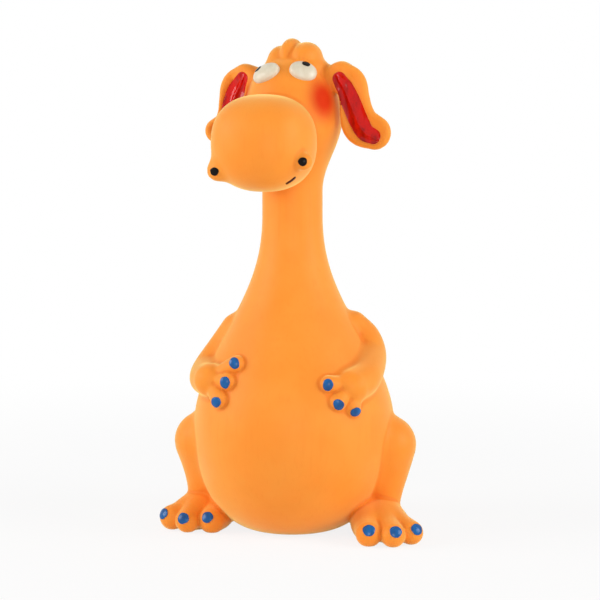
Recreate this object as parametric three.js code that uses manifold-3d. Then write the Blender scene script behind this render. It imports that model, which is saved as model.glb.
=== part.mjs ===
// Squeaky dog toy: a hollow latex figure of a long-necked animal, sitting with bent knees and hands
// on its belly, with a reed squeaker set in its base.
// Millimetres, +Z up. The figure faces -Y, so its own left side is +X.

import * as THREE from "three";
import { mergeVertices } from "three/addons/utils/BufferGeometryUtils.js";
import Module from "manifold-3d";

const wasm = await Module();
wasm.setup();

// Fits between pieces
const GAP = 0.3;
const SEAT = 0.05;
const WELD = 1e-4;

// Latex skin
const WALL = 2.6;
const BASE_WALL = 4.4;

// Body and neck, turned about the vertical axis
const BASE_RADIUS = 14;
const BELLY_RADIUS = 36.7;
const BELLY_HEIGHT = 38;
const NECK_RADIUS = 11;
const NECK_HEIGHT = 117;
const SHOULDER_FULLNESS = 1.25;
const BELLY_LEAN = 2;

// Round seats that let the neck bend at its foot and the head sway on the neck
const NECK_PIVOT_HEIGHT = 88;
const NECK_BALL_RADIUS = 18;
const HEAD_PIVOT_HEIGHT = 119.5;
const HEAD_BALL_RADIUS = 12.2;

// Belly wall that is pressed in
const PANEL_RADIUS = 19;
const PANEL_HEIGHT = 33;

// Head, measured from the level where it is widest
const HEAD_HEIGHT = 150;
const HEAD_RADIUS = 18;
const CROWN_RISE = 23.5;
const THROAT_DROP = 26;
const HEAD_TURN = 17.5;

// Muzzle and nostrils
const MUZZLE_HALF_WIDTH = 18;
const MUZZLE_HALF_DEPTH = 17.5;
const MUZZLE_HALF_HEIGHT = 17;
const MUZZLE_SQUARENESS = 2.35;
const MUZZLE_FORWARD = 23;
const MUZZLE_DROP = 9;
const NOSTRILS = {
  left: { out: 17.9, forward: 26.4, drop: 15.5 },
  right: { out: -17.5, forward: 24, drop: 18.7 },
};
const NOSTRIL_BUMP_RADIUS = 3.8;
const NOSTRIL_RADIUS = 1.9;
const NOSTRIL_PROUD = 0.7;

// Eyes and pupils
const EYES = {
  left: { sign: 1, turn: 42, rise: 16.6, pupilOut: 0.8, pupilRise: 1.6 },
  right: { sign: -1, turn: -20, rise: 16, pupilOut: -2.6, pupilRise: 1.6 },
};
const EYE_HALF_WIDTH = 5.1;
const EYE_HALF_HEIGHT = 4.4;
const EYE_BULGE = 2.2;
const EYE_SLANT = 15;
const PUPIL_RADIUS = 1.8;
const PUPIL_PROUD = 0.7;

// Hair tuft: lumps across the crown
const TUFT_HALF_DEPTH = 7;
const TUFT_LUMPS = [
  { out: -5.6, rise: 18.9, wide: 5.4, high: 6.2 },
  { out: 0.2, rise: 22.8, wide: 3.4, high: 5.6 },
  { out: 5.9, rise: 21.9, wide: 5.2, high: 5.5 },
  { out: 8.8, rise: 17.4, wide: 4.4, high: 5 },
];

// Ears: flaps in the plane behind the face, hanging from a round root
const EAR_ROOT_RISE = 13;
const EAR_ROOT_RADIUS = 4.6;
const EAR_BACK = 0.8;
const EAR_HALF_THICK = 2;
const EARS = {
  left: {
    sign: 1,
    flap: [
      { out: 0, drop: 0, wide: EAR_ROOT_RADIUS },
      { out: 3.6, drop: 3.2, wide: 6.4 },
      { out: 4.9, drop: 8.2, wide: 6.4 },
      { out: 6, drop: 13.2, wide: 6.4 },
      { out: 8.5, drop: 18.2, wide: 6.6 },
      { out: 12.6, drop: 20.4, wide: 6 },
    ],
    lining: [
      { out: 1.8, drop: 1.4, wide: 2.1 },
      { out: 3.4, drop: 6.2, wide: 2.7 },
      { out: 5, drop: 11.5, wide: 3.1 },
      { out: 7.4, drop: 16.8, wide: 3.2 },
      { out: 9.7, drop: 20.2, wide: 2.9 },
      { out: 12.8, drop: 21.8, wide: 2.4 },
    ],
  },
  right: {
    sign: -1,
    flap: [
      { out: 0, drop: 0, wide: EAR_ROOT_RADIUS },
      { out: 3.6, drop: 3.2, wide: 6.4 },
      { out: 4.9, drop: 8.2, wide: 6.4 },
      { out: 6, drop: 13.2, wide: 6.4 },
      { out: 8.3, drop: 16.8, wide: 6 },
      { out: 11.8, drop: 18.6, wide: 5 },
    ],
    lining: [
      { out: 2, drop: 0.6, wide: 2.2 },
      { out: 3.8, drop: 4.8, wide: 3.2 },
      { out: 5, drop: 9.8, wide: 3.4 },
      { out: 6.1, drop: 14.8, wide: 3.4 },
      { out: 8.1, drop: 17.8, wide: 2.9 },
      { out: 10.9, drop: 18.9, wide: 2.2 },
    ],
  },
};
const EAR_BOSS_RADIUS = 6;
const EAR_BOSS_HALF_DEPTH = 3.2;
const EAR_BOSS_SINK = 4.6;
const LINING_HALF_THICK = 1;
const LINING_SINK = 0.6;

// Arms: heights and angles on the body, counted from the front, and the hands' fans of fingers
const SHOULDER_RADIUS = 5.6;
const ELBOW_RADIUS = 6;
const WRIST_RADIUS = 5.8;
const PALM_RADIUS = 6;
const FINGER_RADIUS = 3.1;
const ARMS = [
  {
    side: "left",
    sign: 1,
    shoulder: { height: 75.5, angle: 88, standOff: -2 },
    upperArm: { height: 70, angle: 90, standOff: 0.8 },
    elbow: { height: 64, angle: 85, standOff: 0.4 },
    wrist: { height: 58.5, angle: 62, standOff: 1 },
    palm: { height: 56, angle: 48, standOff: 1 },
    fingers: [
      { pointing: 7, reach: 9 },
      { pointing: -38, reach: 8.4 },
      { pointing: -80, reach: 7.6 },
    ],
  },
  {
    side: "right",
    sign: -1,
    shoulder: { height: 75, angle: 88, standOff: -2.4 },
    upperArm: { height: 67.5, angle: 90, standOff: -0.6 },
    elbow: { height: 59, angle: 82, standOff: 0 },
    wrist: { height: 56.5, angle: 66, standOff: 0.6 },
    palm: { height: 56.5, angle: 55, standOff: 1 },
    fingers: [
      { pointing: 33, reach: 11.6 },
      { pointing: 2, reach: 9 },
      { pointing: -38, reach: 9 },
    ],
  },
];

// Legs: thigh, shin and a foot with a fan of toes
const HIP_OUT = -9.7;
const HIP_BACK = 9;
const HIP_HEIGHT = 19;
const HIP_RADIUS = 11;
const KNEE_OUT = -1.4;
const KNEE_FORWARD = 3.2;
const KNEE_HEIGHT = 32.5;
const KNEE_RADIUS = 10.4;
const SHIN_TOP_RADIUS = 9.4;
const SHIN_RADIUS = 7;
const SHIN_HEIGHT = 20;
const ANKLE_OUT = -1.6;
const ANKLE_HEIGHT = 11;
const ANKLE_RADIUS = 4.6;
const HEEL_HEIGHT = 5;
const HEEL_RADIUS = 5;
const HEEL_AHEAD = 2.5;
const TOE_RADIUS = 4.4;
const TOE_HEIGHT = 4.1;
const TOE_REACH = 12;
const TOE_SPREAD = 36;
const LEGS = [
  { side: "left", sign: 1, stanceOut: 0.8, ankleForward: 16.5, toeOut: 18 },
  { side: "right", sign: -1, stanceOut: -1.6, ankleForward: 9.5, toeOut: 10 },
];

// Painted nails on fingers and toes
const FINGER_NAIL_RADIUS = 2.1;
const FINGER_NAIL_LIFT = 62;
const TOE_NAIL_RADIUS = 2.2;
const TOE_NAIL_LIFT = 33;
const NAIL_PROUD = 0.9;
const FINGER_NAMES = ["upper", "middle", "lower"];
const TOE_NAMES = ["inner", "middle", "outer"];

// Squeaker in the base
const CUP_RADIUS = 7;
const CUP_WALL = 1.2;
const CUP_HEIGHT = 11;
const CUP_INSET = 0.5;
const AIR_HOLE_RADIUS = 2;
const OUTER_LIP_RADIUS = 9.4;
const INNER_LIP_RADIUS = 8.6;
const LIP_THICK = 1.2;
const LEDGE_WIDTH = 0.9;
const PLATE_THICK = 1.4;
const PLATE_RECESS = 0.4;
const SLOT_LENGTH = 4.6;
const SLOT_WIDTH = 1.8;
const REED_LENGTH = 7.6;
const REED_WIDTH = 3;
const REED_THICK = 0.3;
const REED_LIFT = 0.3;
const CLAMP_LENGTH = 2;
const CLAMP_FOOT_WIDTH = 1;
const CLAMP_BAR_THICK = 0.8;

// Facet counts
const TURNED_SEGMENTS = 32;
const NECK_SEGMENTS = 24;
const SMALL_SEGMENTS = 20;
const EGG_SEGMENTS = 10;
const EGG_RINGS_PER_SEGMENT = 0.7;
const EYE_SEGMENTS = 12;
const CAP_SEGMENTS = 8;
const MUZZLE_SEGMENTS = 18;
const PROFILE_STEPS = 10;
const BALL_STEPS = 3;
const LIMB_SIDES = 10;
const LIMB_STEPS = 3;
const DIGIT_SIDES = 8;
const FLAP_SIDES = 12;
const SHORT_STEPS = 2;
const ROUND_END_STEPS = 3;
const HALVINGS = 40;

// Colours and finishes
const LATEX = { color: 0xf9983b, roughness: 0.55, metalness: 0 };
const LINING_RED = { color: 0xb81410, roughness: 0.22, metalness: 0 };
const NAIL_BLUE = { color: 0x2a62a8, roughness: 0.2, metalness: 0 };
const EYE_WHITE = { color: 0xe6e0da, roughness: 0.35, metalness: 0 };
const GLOSS_BLACK = { color: 0x120e0c, roughness: 0.15, metalness: 0 };
const CLEAR_PLASTIC = { color: 0xdfe2e0, roughness: 0.4, metalness: 0 };
const REED_FILM = { color: 0xe9dfc4, roughness: 0.3, metalness: 0 };

const radians = THREE.MathUtils.degToRad;
const clamp = THREE.MathUtils.clamp;

// A closed mesh as a solid that can be joined and cut
function solidOf(geometry) {
  const bare = new THREE.BufferGeometry();
  bare.setAttribute("position", geometry.getAttribute("position"));
  bare.setIndex(geometry.getIndex());
  const welded = mergeVertices(bare, WELD);
  const vertProperties = Float32Array.from(welded.getAttribute("position").array);
  const triVerts = Uint32Array.from(welded.getIndex().array);
  return new wasm.Manifold(new wasm.Mesh({ numProp: 3, vertProperties, triVerts }));
}

// A finished solid as a named mesh with its own material
function piece(name, solid, look) {
  const data = solid.getMesh();
  const geometry = new THREE.BufferGeometry();
  geometry.setAttribute("position", new THREE.BufferAttribute(Float32Array.from(data.vertProperties), 3));
  geometry.setIndex(new THREE.BufferAttribute(Uint32Array.from(data.triVerts), 1));
  geometry.computeVertexNormals();
  const mesh = new THREE.Mesh(geometry, new THREE.MeshStandardMaterial(look));
  mesh.name = name;
  return mesh;
}

// A profile of [radius, height] points turned about the vertical axis
function turned(points, segments) {
  const profile = points.map(([radius, height]) => new THREE.Vector2(radius, height));
  return new THREE.LatheGeometry(profile, segments).rotateX(Math.PI / 2);
}

function box(size, centre) {
  return solidOf(new THREE.BoxGeometry(...size).translate(...centre));
}

function joined(solids) {
  return solids.reduce((whole, next) => whole.add(next));
}

// What is left of a solid after cuts, without the loose slivers between two sets of facets
function cut(solid, ...tools) {
  const rest = tools.reduce((left, tool) => left.subtract(tool), solid);
  return rest.decompose().reduce((largest, body) => (body.volume() > largest.volume() ? body : largest));
}

function unitBall(segments) {
  return new THREE.SphereGeometry(1, segments, Math.round(segments * EGG_RINGS_PER_SEGMENT));
}

// An egg shape with half sizes along X, Y and Z
function egg(centre, halves, segments = EGG_SEGMENTS, grow = 0) {
  return solidOf(unitBall(segments).scale(...halves.map((half) => half + grow)).translate(...centre));
}

// A round spot on a ball about a centre, standing a little proud of the ball's surface
function cap(centre, normal, ballRadius, radius, proud) {
  const place = centre.clone().addScaledVector(normal, ballRadius + proud - radius);
  return egg([...place], [radius, radius, radius], CAP_SEGMENTS);
}

// A limb that swells and tapers: oval sections strung on a smooth curve, with round ends.
// facing is the direction of each section's thickness.
function swell(stations, facing, options = {}) {
  const { sides = LIMB_SIDES, steps = LIMB_STEPS, capSteps = SHORT_STEPS, grow = 0 } = options;
  const curve = new THREE.CatmullRomCurve3(stations.map((station) => station.at));
  const sizes = new THREE.CatmullRomCurve3(
    stations.map(({ wide, thick }) => new THREE.Vector3(wide + grow, (thick ?? wide) + grow, 0)),
    false,
    "catmullrom",
  );
  const rings = [];
  const across = facing.clone();
  const addRing = (share, rounding) => {
    const tangent = curve.getTangent(share);
    across.addScaledVector(tangent, -across.dot(tangent)).normalize();
    const size = sizes.getPoint(share);
    const shrink = Math.cos(rounding);
    rings.push({
      centre: curve.getPoint(share).addScaledVector(tangent, size.x * Math.sin(rounding)),
      sideways: tangent.clone().cross(across).multiplyScalar(size.x * shrink),
      upright: across.clone().multiplyScalar(size.y * shrink),
    });
  };
  const quarter = Math.PI / 2;
  for (let i = capSteps; i > 0; i -= 1) {
    addRing(0, (-quarter * i) / (capSteps + 1));
  }
  const count = (stations.length - 1) * steps;
  for (let i = 0; i <= count; i += 1) {
    addRing(i / count, 0);
  }
  for (let i = 1; i <= capSteps; i += 1) {
    addRing(1, (quarter * i) / (capSteps + 1));
  }
  const positions = [];
  for (const ring of rings) {
    for (let j = 0; j < sides; j += 1) {
      const turn = (2 * Math.PI * j) / sides;
      const point = ring.centre.clone();
      point.addScaledVector(ring.sideways, Math.cos(turn));
      point.addScaledVector(ring.upright, Math.sin(turn));
      positions.push(...point);
    }
  }
  const start = curve.getPoint(0).addScaledVector(curve.getTangent(0), -sizes.getPoint(0).x);
  const end = curve.getPoint(1).addScaledVector(curve.getTangent(1), sizes.getPoint(1).x);
  positions.push(...start, ...end);
  const startIndex = rings.length * sides;
  const endIndex = startIndex + 1;
  const lastRing = (rings.length - 1) * sides;
  const index = [];
  for (let j = 0; j < sides; j += 1) {
    const next = (j + 1) % sides;
    for (let i = 0; i < rings.length - 1; i += 1) {
      const low = i * sides;
      const high = low + sides;
      index.push(low + j, high + next, low + next, low + j, high + j, high + next);
    }
    index.push(startIndex, j, next);
    index.push(endIndex, lastRing + next, lastRing + j);
  }
  const geometry = new THREE.BufferGeometry();
  geometry.setAttribute("position", new THREE.Float32BufferAttribute(positions, 3));
  geometry.setIndex(index);
  return solidOf(geometry);
}

// Outside radius of the body and neck at a height
function bodyRadius(height) {
  if (height < BELLY_HEIGHT) {
    const below = clamp((BELLY_HEIGHT - height) / BELLY_HEIGHT, 0, 1);
    return BASE_RADIUS + (BELLY_RADIUS - BASE_RADIUS) * Math.sqrt(1 - below * below);
  }
  const share = clamp((height - BELLY_HEIGHT) / (NECK_HEIGHT - BELLY_HEIGHT), 0, 1);
  const fullness = (0.5 + 0.5 * Math.cos(Math.PI * share)) ** SHOULDER_FULLNESS;
  return NECK_RADIUS + (BELLY_RADIUS - NECK_RADIUS) * fullness;
}

// Outside radius of the head at a height above its widest level
function headRadius(rise) {
  if (rise > 0) {
    return HEAD_RADIUS * Math.sqrt(Math.max(0, 1 - (rise / CROWN_RISE) ** 2));
  }
  const share = Math.min(1, -rise / THROAT_DROP);
  return NECK_RADIUS + (HEAD_RADIUS - NECK_RADIUS) * (0.5 + 0.5 * Math.cos(Math.PI * share));
}

// How far the body's round sections stand forward of the axis at a height
function lean(height) {
  const share = clamp(height / NECK_PIVOT_HEIGHT, 0, 1);
  return BELLY_LEAN * Math.sin(Math.PI * share) ** 2;
}

function leaned(geometry) {
  const position = geometry.getAttribute("position");
  for (let i = 0; i < position.count; i += 1) {
    position.setY(i, position.getY(i) - lean(position.getZ(i)));
  }
  return geometry;
}

// A place on the body's skin: height, angle from the front (positive to its left), distance off the skin
function bodyPoint(height, angle, standOff) {
  const radius = bodyRadius(height) + standOff;
  const turn = radians(angle);
  return new THREE.Vector3(radius * Math.sin(turn), -lean(height) - radius * Math.cos(turn), height);
}

// The height below a pivot where a wall of the given radius meets a ball about that pivot
function ballMeets(radiusAt, pivotHeight, ballRadius) {
  let low = pivotHeight - ballRadius;
  let high = pivotHeight;
  for (let i = 0; i < HALVINGS; i += 1) {
    const middle = (low + high) / 2;
    const outside = Math.hypot(radiusAt(middle), middle - pivotHeight) > ballRadius;
    low = outside ? middle : low;
    high = outside ? high : middle;
  }
  return high;
}

// Points of [radius, height] along a wall between two heights
function wallPoints(radiusAt, from, to, steps) {
  return Array.from({ length: steps + 1 }, (_, i) => {
    const height = from + ((to - from) * i) / steps;
    return [radiusAt(height), height];
  });
}

// Points along a ball's lower face between two heights, ends left out
function ballPoints(pivotHeight, ballRadius, from, to) {
  const angleAt = (height) => Math.asin((height - pivotHeight) / ballRadius);
  return Array.from({ length: BALL_STEPS - 1 }, (_, i) => {
    const share = (i + 1) / BALL_STEPS;
    const angle = angleAt(from) + (angleAt(to) - angleAt(from)) * share;
    return [ballRadius * Math.cos(angle), pivotHeight + ballRadius * Math.sin(angle)];
  });
}

const innerBodyRadius = (height) => bodyRadius(height) - WALL;
const innerHeadRadius = (rise) => headRadius(rise) - WALL;

// Body: a bottle-shaped skin from the flat base to the round seat under the neck
function bodySkin() {
  const seatRadius = NECK_BALL_RADIUS + GAP;
  const rim = ballMeets(bodyRadius, NECK_PIVOT_HEIGHT, seatRadius);
  const innerRim = ballMeets(innerBodyRadius, NECK_PIVOT_HEIGHT, seatRadius);
  const recessTop = CUP_INSET + LIP_THICK + GAP;
  const holeRadius = CUP_RADIUS + GAP;
  const lipRecess = OUTER_LIP_RADIUS + GAP;
  const profile = [
    [lipRecess, 0],
    ...bottomPoints(),
    ...wallPoints(bodyRadius, BELLY_HEIGHT, rim, PROFILE_STEPS),
    ...ballPoints(NECK_PIVOT_HEIGHT, seatRadius, rim, innerRim),
    ...wallPoints(innerBodyRadius, innerRim, BELLY_HEIGHT, PROFILE_STEPS),
    ...innerBottomPoints(),
    [holeRadius, BASE_WALL],
    [holeRadius, recessTop],
    [lipRecess, recessTop],
    [lipRecess, 0],
  ];
  return solidOf(leaned(turned(profile, TURNED_SEGMENTS)));
}

// The round underside between the flat base and the widest level, in equal turns of its arc
function bottomPoints(grow = 0) {
  const steps = PROFILE_STEPS / 2;
  return Array.from({ length: steps }, (_, i) => {
    const angle = (Math.PI / 2) * (i / steps);
    const radius = BASE_RADIUS + (BELLY_RADIUS - BASE_RADIUS) * Math.sin(angle);
    return [radius + grow, BELLY_HEIGHT * (1 - Math.cos(angle)) - grow * Math.cos(angle)];
  });
}

function innerBottomPoints() {
  const floorRise = BELLY_HEIGHT - BASE_WALL;
  const steps = PROFILE_STEPS / 2;
  return Array.from({ length: steps }, (_, i) => {
    const angle = (Math.PI / 2) * ((i + 1) / steps);
    const radius = BASE_RADIUS + (BELLY_RADIUS - WALL - BASE_RADIUS) * Math.cos(angle);
    return [radius, BELLY_HEIGHT - floorRise * Math.sin(angle)];
  });
}

// The body's outside as a full solid, grown to cut what lies against it
function bodyCore(grow) {
  const profile = [
    [0, -grow],
    ...bottomPoints(grow),
    ...wallPoints((height) => bodyRadius(height) + grow, BELLY_HEIGHT, HEAD_PIVOT_HEIGHT, PROFILE_STEPS),
    [0, HEAD_PIVOT_HEIGHT],
  ];
  return solidOf(leaned(turned(profile, TURNED_SEGMENTS)));
}

// Neck: a tube that ends in a ball in the body's seat and carries the head's seat
function neckTube() {
  const foot = ballMeets(bodyRadius, NECK_PIVOT_HEIGHT, NECK_BALL_RADIUS);
  const innerFoot = ballMeets(innerBodyRadius, NECK_PIVOT_HEIGHT, NECK_BALL_RADIUS);
  const seatRadius = HEAD_BALL_RADIUS + GAP;
  const rim = ballMeets(bodyRadius, HEAD_PIVOT_HEIGHT, seatRadius);
  const innerRim = ballMeets(innerBodyRadius, HEAD_PIVOT_HEIGHT, seatRadius);
  const profile = [
    ...wallPoints(bodyRadius, foot, rim, PROFILE_STEPS / 2),
    ...ballPoints(HEAD_PIVOT_HEIGHT, seatRadius, rim, innerRim),
    ...wallPoints(innerBodyRadius, innerRim, innerFoot, PROFILE_STEPS / 2),
    ...ballPoints(NECK_PIVOT_HEIGHT, NECK_BALL_RADIUS, innerFoot, foot),
    [bodyRadius(foot), foot],
  ];
  return solidOf(turned(profile, NECK_SEGMENTS));
}

// Head: an egg on a throat, open below to the neck and in front to the muzzle
function headSkin() {
  const pivot = HEAD_PIVOT_HEIGHT - HEAD_HEIGHT;
  const foot = ballMeets(headRadius, pivot, HEAD_BALL_RADIUS);
  const innerFoot = ballMeets(innerHeadRadius, pivot, HEAD_BALL_RADIUS);
  const profile = [
    ...wallPoints(headRadius, foot, 0, PROFILE_STEPS / 2),
    ...domePoints(HEAD_RADIUS, CROWN_RISE),
    ...domePoints(HEAD_RADIUS - WALL, CROWN_RISE - WALL).reverse(),
    ...wallPoints(innerHeadRadius, 0, innerFoot, PROFILE_STEPS / 2),
    ...ballPoints(pivot, HEAD_BALL_RADIUS, innerFoot, foot),
    [headRadius(foot), foot],
  ];
  const crown = cut(solidOf(turned(profile, NECK_SEGMENTS)), muzzleHollow());
  return joined([crown, earBoss(-1), earBoss(1)]);
}

// The crown's arc from just above the widest level up to the axis
function domePoints(radius, rise) {
  const steps = PROFILE_STEPS / 2;
  return Array.from({ length: steps }, (_, i) => {
    const angle = (Math.PI / 2) * ((i + 1) / steps);
    return [i + 1 === steps ? 0 : radius * Math.cos(angle), rise * Math.sin(angle)];
  });
}

function headCore(grow) {
  const profile = [
    [0, -THROAT_DROP],
    ...wallPoints((rise) => headRadius(rise) + grow, -THROAT_DROP, 0, PROFILE_STEPS / 2),
    ...domePoints(HEAD_RADIUS + grow, CROWN_RISE + grow),
  ];
  return solidOf(turned(profile, NECK_SEGMENTS));
}

// Muzzle: a big round nose end with two nostril bumps, hollow and open to the head
function muzzleCore(grow) {
  const bumpHalves = [NOSTRIL_BUMP_RADIUS, NOSTRIL_BUMP_RADIUS, NOSTRIL_BUMP_RADIUS];
  const nose = noseEnd(grow);
  const bumps = Object.values(NOSTRILS).map(({ out, forward, drop }) => {
    return egg([out, -forward, -drop], bumpHalves, EGG_SEGMENTS, grow);
  });
  return joined([nose, ...bumps]);
}

// The nose end: a ball drawn out towards its corners, so that it is squarer than an egg
function noseEnd(grow) {
  const ball = unitBall(MUZZLE_SEGMENTS);
  const position = ball.getAttribute("position");
  for (let i = 0; i < position.count; i += 1) {
    const place = new THREE.Vector3().fromBufferAttribute(position, i);
    const powers = place.toArray().map((part) => Math.abs(part) ** MUZZLE_SQUARENESS);
    const size = (powers[0] + powers[1] + powers[2]) ** (1 / MUZZLE_SQUARENESS);
    position.setXYZ(i, ...place.divideScalar(size));
  }
  const halves = [MUZZLE_HALF_WIDTH, MUZZLE_HALF_DEPTH, MUZZLE_HALF_HEIGHT].map((half) => half + grow);
  return solidOf(ball.scale(...halves).translate(0, -MUZZLE_FORWARD, -MUZZLE_DROP));
}

const muzzleHollow = () => noseEnd(-WALL);

function muzzleSkin() {
  return cut(muzzleCore(0), muzzleHollow(), headCore(GAP));
}

// Nostrils: black spots on the front of the bumps
function nostril({ out, forward, drop }) {
  const bump = new THREE.Vector3(out, -forward, -drop);
  const ahead = new THREE.Vector3(0, -1, 0);
  return cut(cap(bump, ahead, NOSTRIL_BUMP_RADIUS, NOSTRIL_RADIUS, NOSTRIL_PROUD), muzzleCore(GAP));
}

// Eyes: white domes high on the face, each with a black pupil near its upper edge
function eyePlace({ turn, rise }) {
  const radius = headRadius(rise);
  return new THREE.Vector3(radius * Math.sin(radians(turn)), -radius * Math.cos(radians(turn)), rise);
}

function eyeDome(eye, grow = 0) {
  const halves = [EYE_HALF_WIDTH, EYE_BULGE, EYE_HALF_HEIGHT].map((half) => half + grow);
  return solidOf(unitBall(EYE_SEGMENTS).scale(...halves).applyMatrix4(eyeFrame(eye)));
}

// The eye's own frame: its bulge square to the skin, slanted down to the outside
function eyeFrame(eye) {
  const place = eyePlace(eye);
  const normal = new THREE.Vector3(place.x, place.y, place.z * (HEAD_RADIUS / CROWN_RISE) ** 2).normalize();
  const level = new THREE.Vector3(0, 0, 1).cross(normal).normalize();
  const upward = normal.clone().cross(level);
  const frame = new THREE.Matrix4().makeBasis(level, normal.negate(), upward);
  frame.multiply(new THREE.Matrix4().makeRotationY(radians(eye.sign * EYE_SLANT)));
  return frame.setPosition(place);
}

function pupil(eye) {
  const { pupilOut, pupilRise } = eye;
  const ball = unitBall(CAP_SEGMENTS).scale(PUPIL_RADIUS, PUPIL_RADIUS, PUPIL_RADIUS);
  const share = (pupilOut / EYE_HALF_WIDTH) ** 2 + (pupilRise / EYE_HALF_HEIGHT) ** 2;
  const bulge = EYE_BULGE * Math.sqrt(1 - share);
  ball.translate(pupilOut, PUPIL_RADIUS - PUPIL_PROUD - bulge, pupilRise);
  ball.applyMatrix4(eyeFrame(eye));
  return cut(solidOf(ball), eyeDome(eye, GAP), headCore(GAP));
}

function hairTuft() {
  const lumps = TUFT_LUMPS.map(({ out, rise, wide, high }) => {
    return egg([out, 0, rise], [wide, TUFT_HALF_DEPTH, high]);
  });
  const eyes = Object.values(EYES).map((eye) => eyeDome(eye, GAP));
  return cut(joined(lumps), headCore(GAP), earBoss(-1, GAP), earBoss(1, GAP), ...eyes);
}

// Ears: the root's centre lies on the hinge line, one root radius off the head's skin
function earRoot() {
  const radius = headRadius(EAR_ROOT_RISE);
  const slope = new THREE.Vector2(radius / HEAD_RADIUS ** 2, EAR_ROOT_RISE / CROWN_RISE ** 2);
  const outward = slope.normalize();
  const reach = EAR_ROOT_RADIUS + GAP;
  return new THREE.Vector3(radius + outward.x * reach, EAR_BACK, EAR_ROOT_RISE + outward.y * reach);
}

// The swelling of the head that an ear hangs from, hollowed round the ear's root
function earBoss(sign, grow = 0) {
  const root = earRoot();
  const reach = EAR_ROOT_RADIUS + GAP - grow;
  const inward = new THREE.Vector3(root.x, 0, root.z).normalize().multiplyScalar(-EAR_BOSS_SINK);
  const centre = root.clone().add(inward);
  const halves = [EAR_BOSS_RADIUS, EAR_BOSS_HALF_DEPTH, EAR_BOSS_RADIUS];
  const hollow = new THREE.CylinderGeometry(reach, reach, 4 * EAR_BOSS_HALF_DEPTH, NECK_SEGMENTS);
  const hollowSolid = solidOf(hollow.translate(sign * root.x, root.y, root.z));
  const boss = egg([sign * centre.x, centre.y, centre.z], halves, EGG_SEGMENTS, grow);
  return cut(boss, hollowSolid, headHollow());
}

// The air space in the crown
function headHollow() {
  const inside = HEAD_RADIUS - WALL;
  return egg([0, 0, 0], [inside, inside, CROWN_RISE - WALL], MUZZLE_SEGMENTS);
}

// A flap's or lining's stations about the root, set forward by the given amount
function earStations(sign, places, forward, thick) {
  const root = earRoot();
  return places.map(({ out, drop, wide }) => ({
    at: new THREE.Vector3(sign * (root.x + out), root.y - forward, root.z - drop),
    wide,
    thick,
  }));
}

function liningPad(ear, grow = 0) {
  const front = EAR_HALF_THICK - LINING_SINK;
  const stations = earStations(ear.sign, ear.lining, front, LINING_HALF_THICK);
  const counts = { sides: DIGIT_SIDES, steps: SHORT_STEPS, capSteps: ROUND_END_STEPS };
  return swell(stations, new THREE.Vector3(0, 1, 0), { ...counts, grow });
}

function earLining(ear) {
  return cut(liningPad(ear), headCore(GAP), earBoss(ear.sign, GAP));
}

function earFlap(ear) {
  const stations = earStations(ear.sign, ear.flap, 0, EAR_HALF_THICK);
  const counts = { sides: FLAP_SIDES, steps: SHORT_STEPS, capSteps: ROUND_END_STEPS };
  const flap = swell(stations, new THREE.Vector3(0, 1, 0), counts);
  return cut(flap, liningPad(ear, GAP), headCore(GAP), earBoss(ear.sign, GAP));
}

// Arms: from the shoulder down the side, round the elbow and forward onto the belly
function armPoint(arm, { height, angle, standOff }) {
  return bodyPoint(height, arm.sign * angle, standOff);
}

function fingerTips(arm) {
  const { height, angle, standOff } = arm.palm;
  return arm.fingers.map(({ pointing, reach }) => {
    const tipHeight = height + reach * Math.sin(radians(pointing));
    const inward = (reach * Math.cos(radians(pointing))) / bodyRadius(tipHeight);
    return { height: tipHeight, angle: angle - THREE.MathUtils.radToDeg(inward), standOff };
  });
}

function armLimb(arm, grow = 0) {
  const palm = armPoint(arm, arm.palm);
  const limb = swell(
    [
      { at: armPoint(arm, arm.shoulder), wide: SHOULDER_RADIUS },
      { at: armPoint(arm, arm.upperArm), wide: SHOULDER_RADIUS },
      { at: armPoint(arm, arm.elbow), wide: ELBOW_RADIUS },
      { at: armPoint(arm, arm.wrist), wide: WRIST_RADIUS },
      { at: palm, wide: PALM_RADIUS },
    ],
    new THREE.Vector3(arm.sign, 0, 0),
    { grow },
  );
  const fingers = fingerTips(arm).map((tip) => finger(palm, armPoint(arm, tip), FINGER_RADIUS, grow));
  return joined([limb, ...fingers]);
}

// A finger or toe from inside the hand or foot out to its round tip
function finger(root, tip, radius, grow) {
  const stations = [
    { at: root, wide: radius },
    { at: tip, wide: radius },
  ];
  return swell(stations, new THREE.Vector3(0, 0, 1), { sides: DIGIT_SIDES, steps: SHORT_STEPS, grow });
}

function armPiece(arm) {
  return cut(armLimb(arm), bodyCore(GAP));
}

// Legs: hip, raised knee and shin, then a foot with three toes, all cut flat at the sole
function legOut(leg, out) {
  return leg.sign * (BELLY_RADIUS + leg.stanceOut + out);
}

function ankle(leg) {
  return new THREE.Vector3(legOut(leg, ANKLE_OUT), -leg.ankleForward, ANKLE_HEIGHT);
}

function toeTips(leg) {
  const root = ankle(leg);
  return [-1, 0, 1].map((across) => {
    const direction = radians(leg.toeOut + across * TOE_SPREAD);
    const out = leg.sign * TOE_REACH * Math.sin(direction);
    return new THREE.Vector3(root.x + out, root.y - TOE_REACH * Math.cos(direction), TOE_HEIGHT);
  });
}

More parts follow.
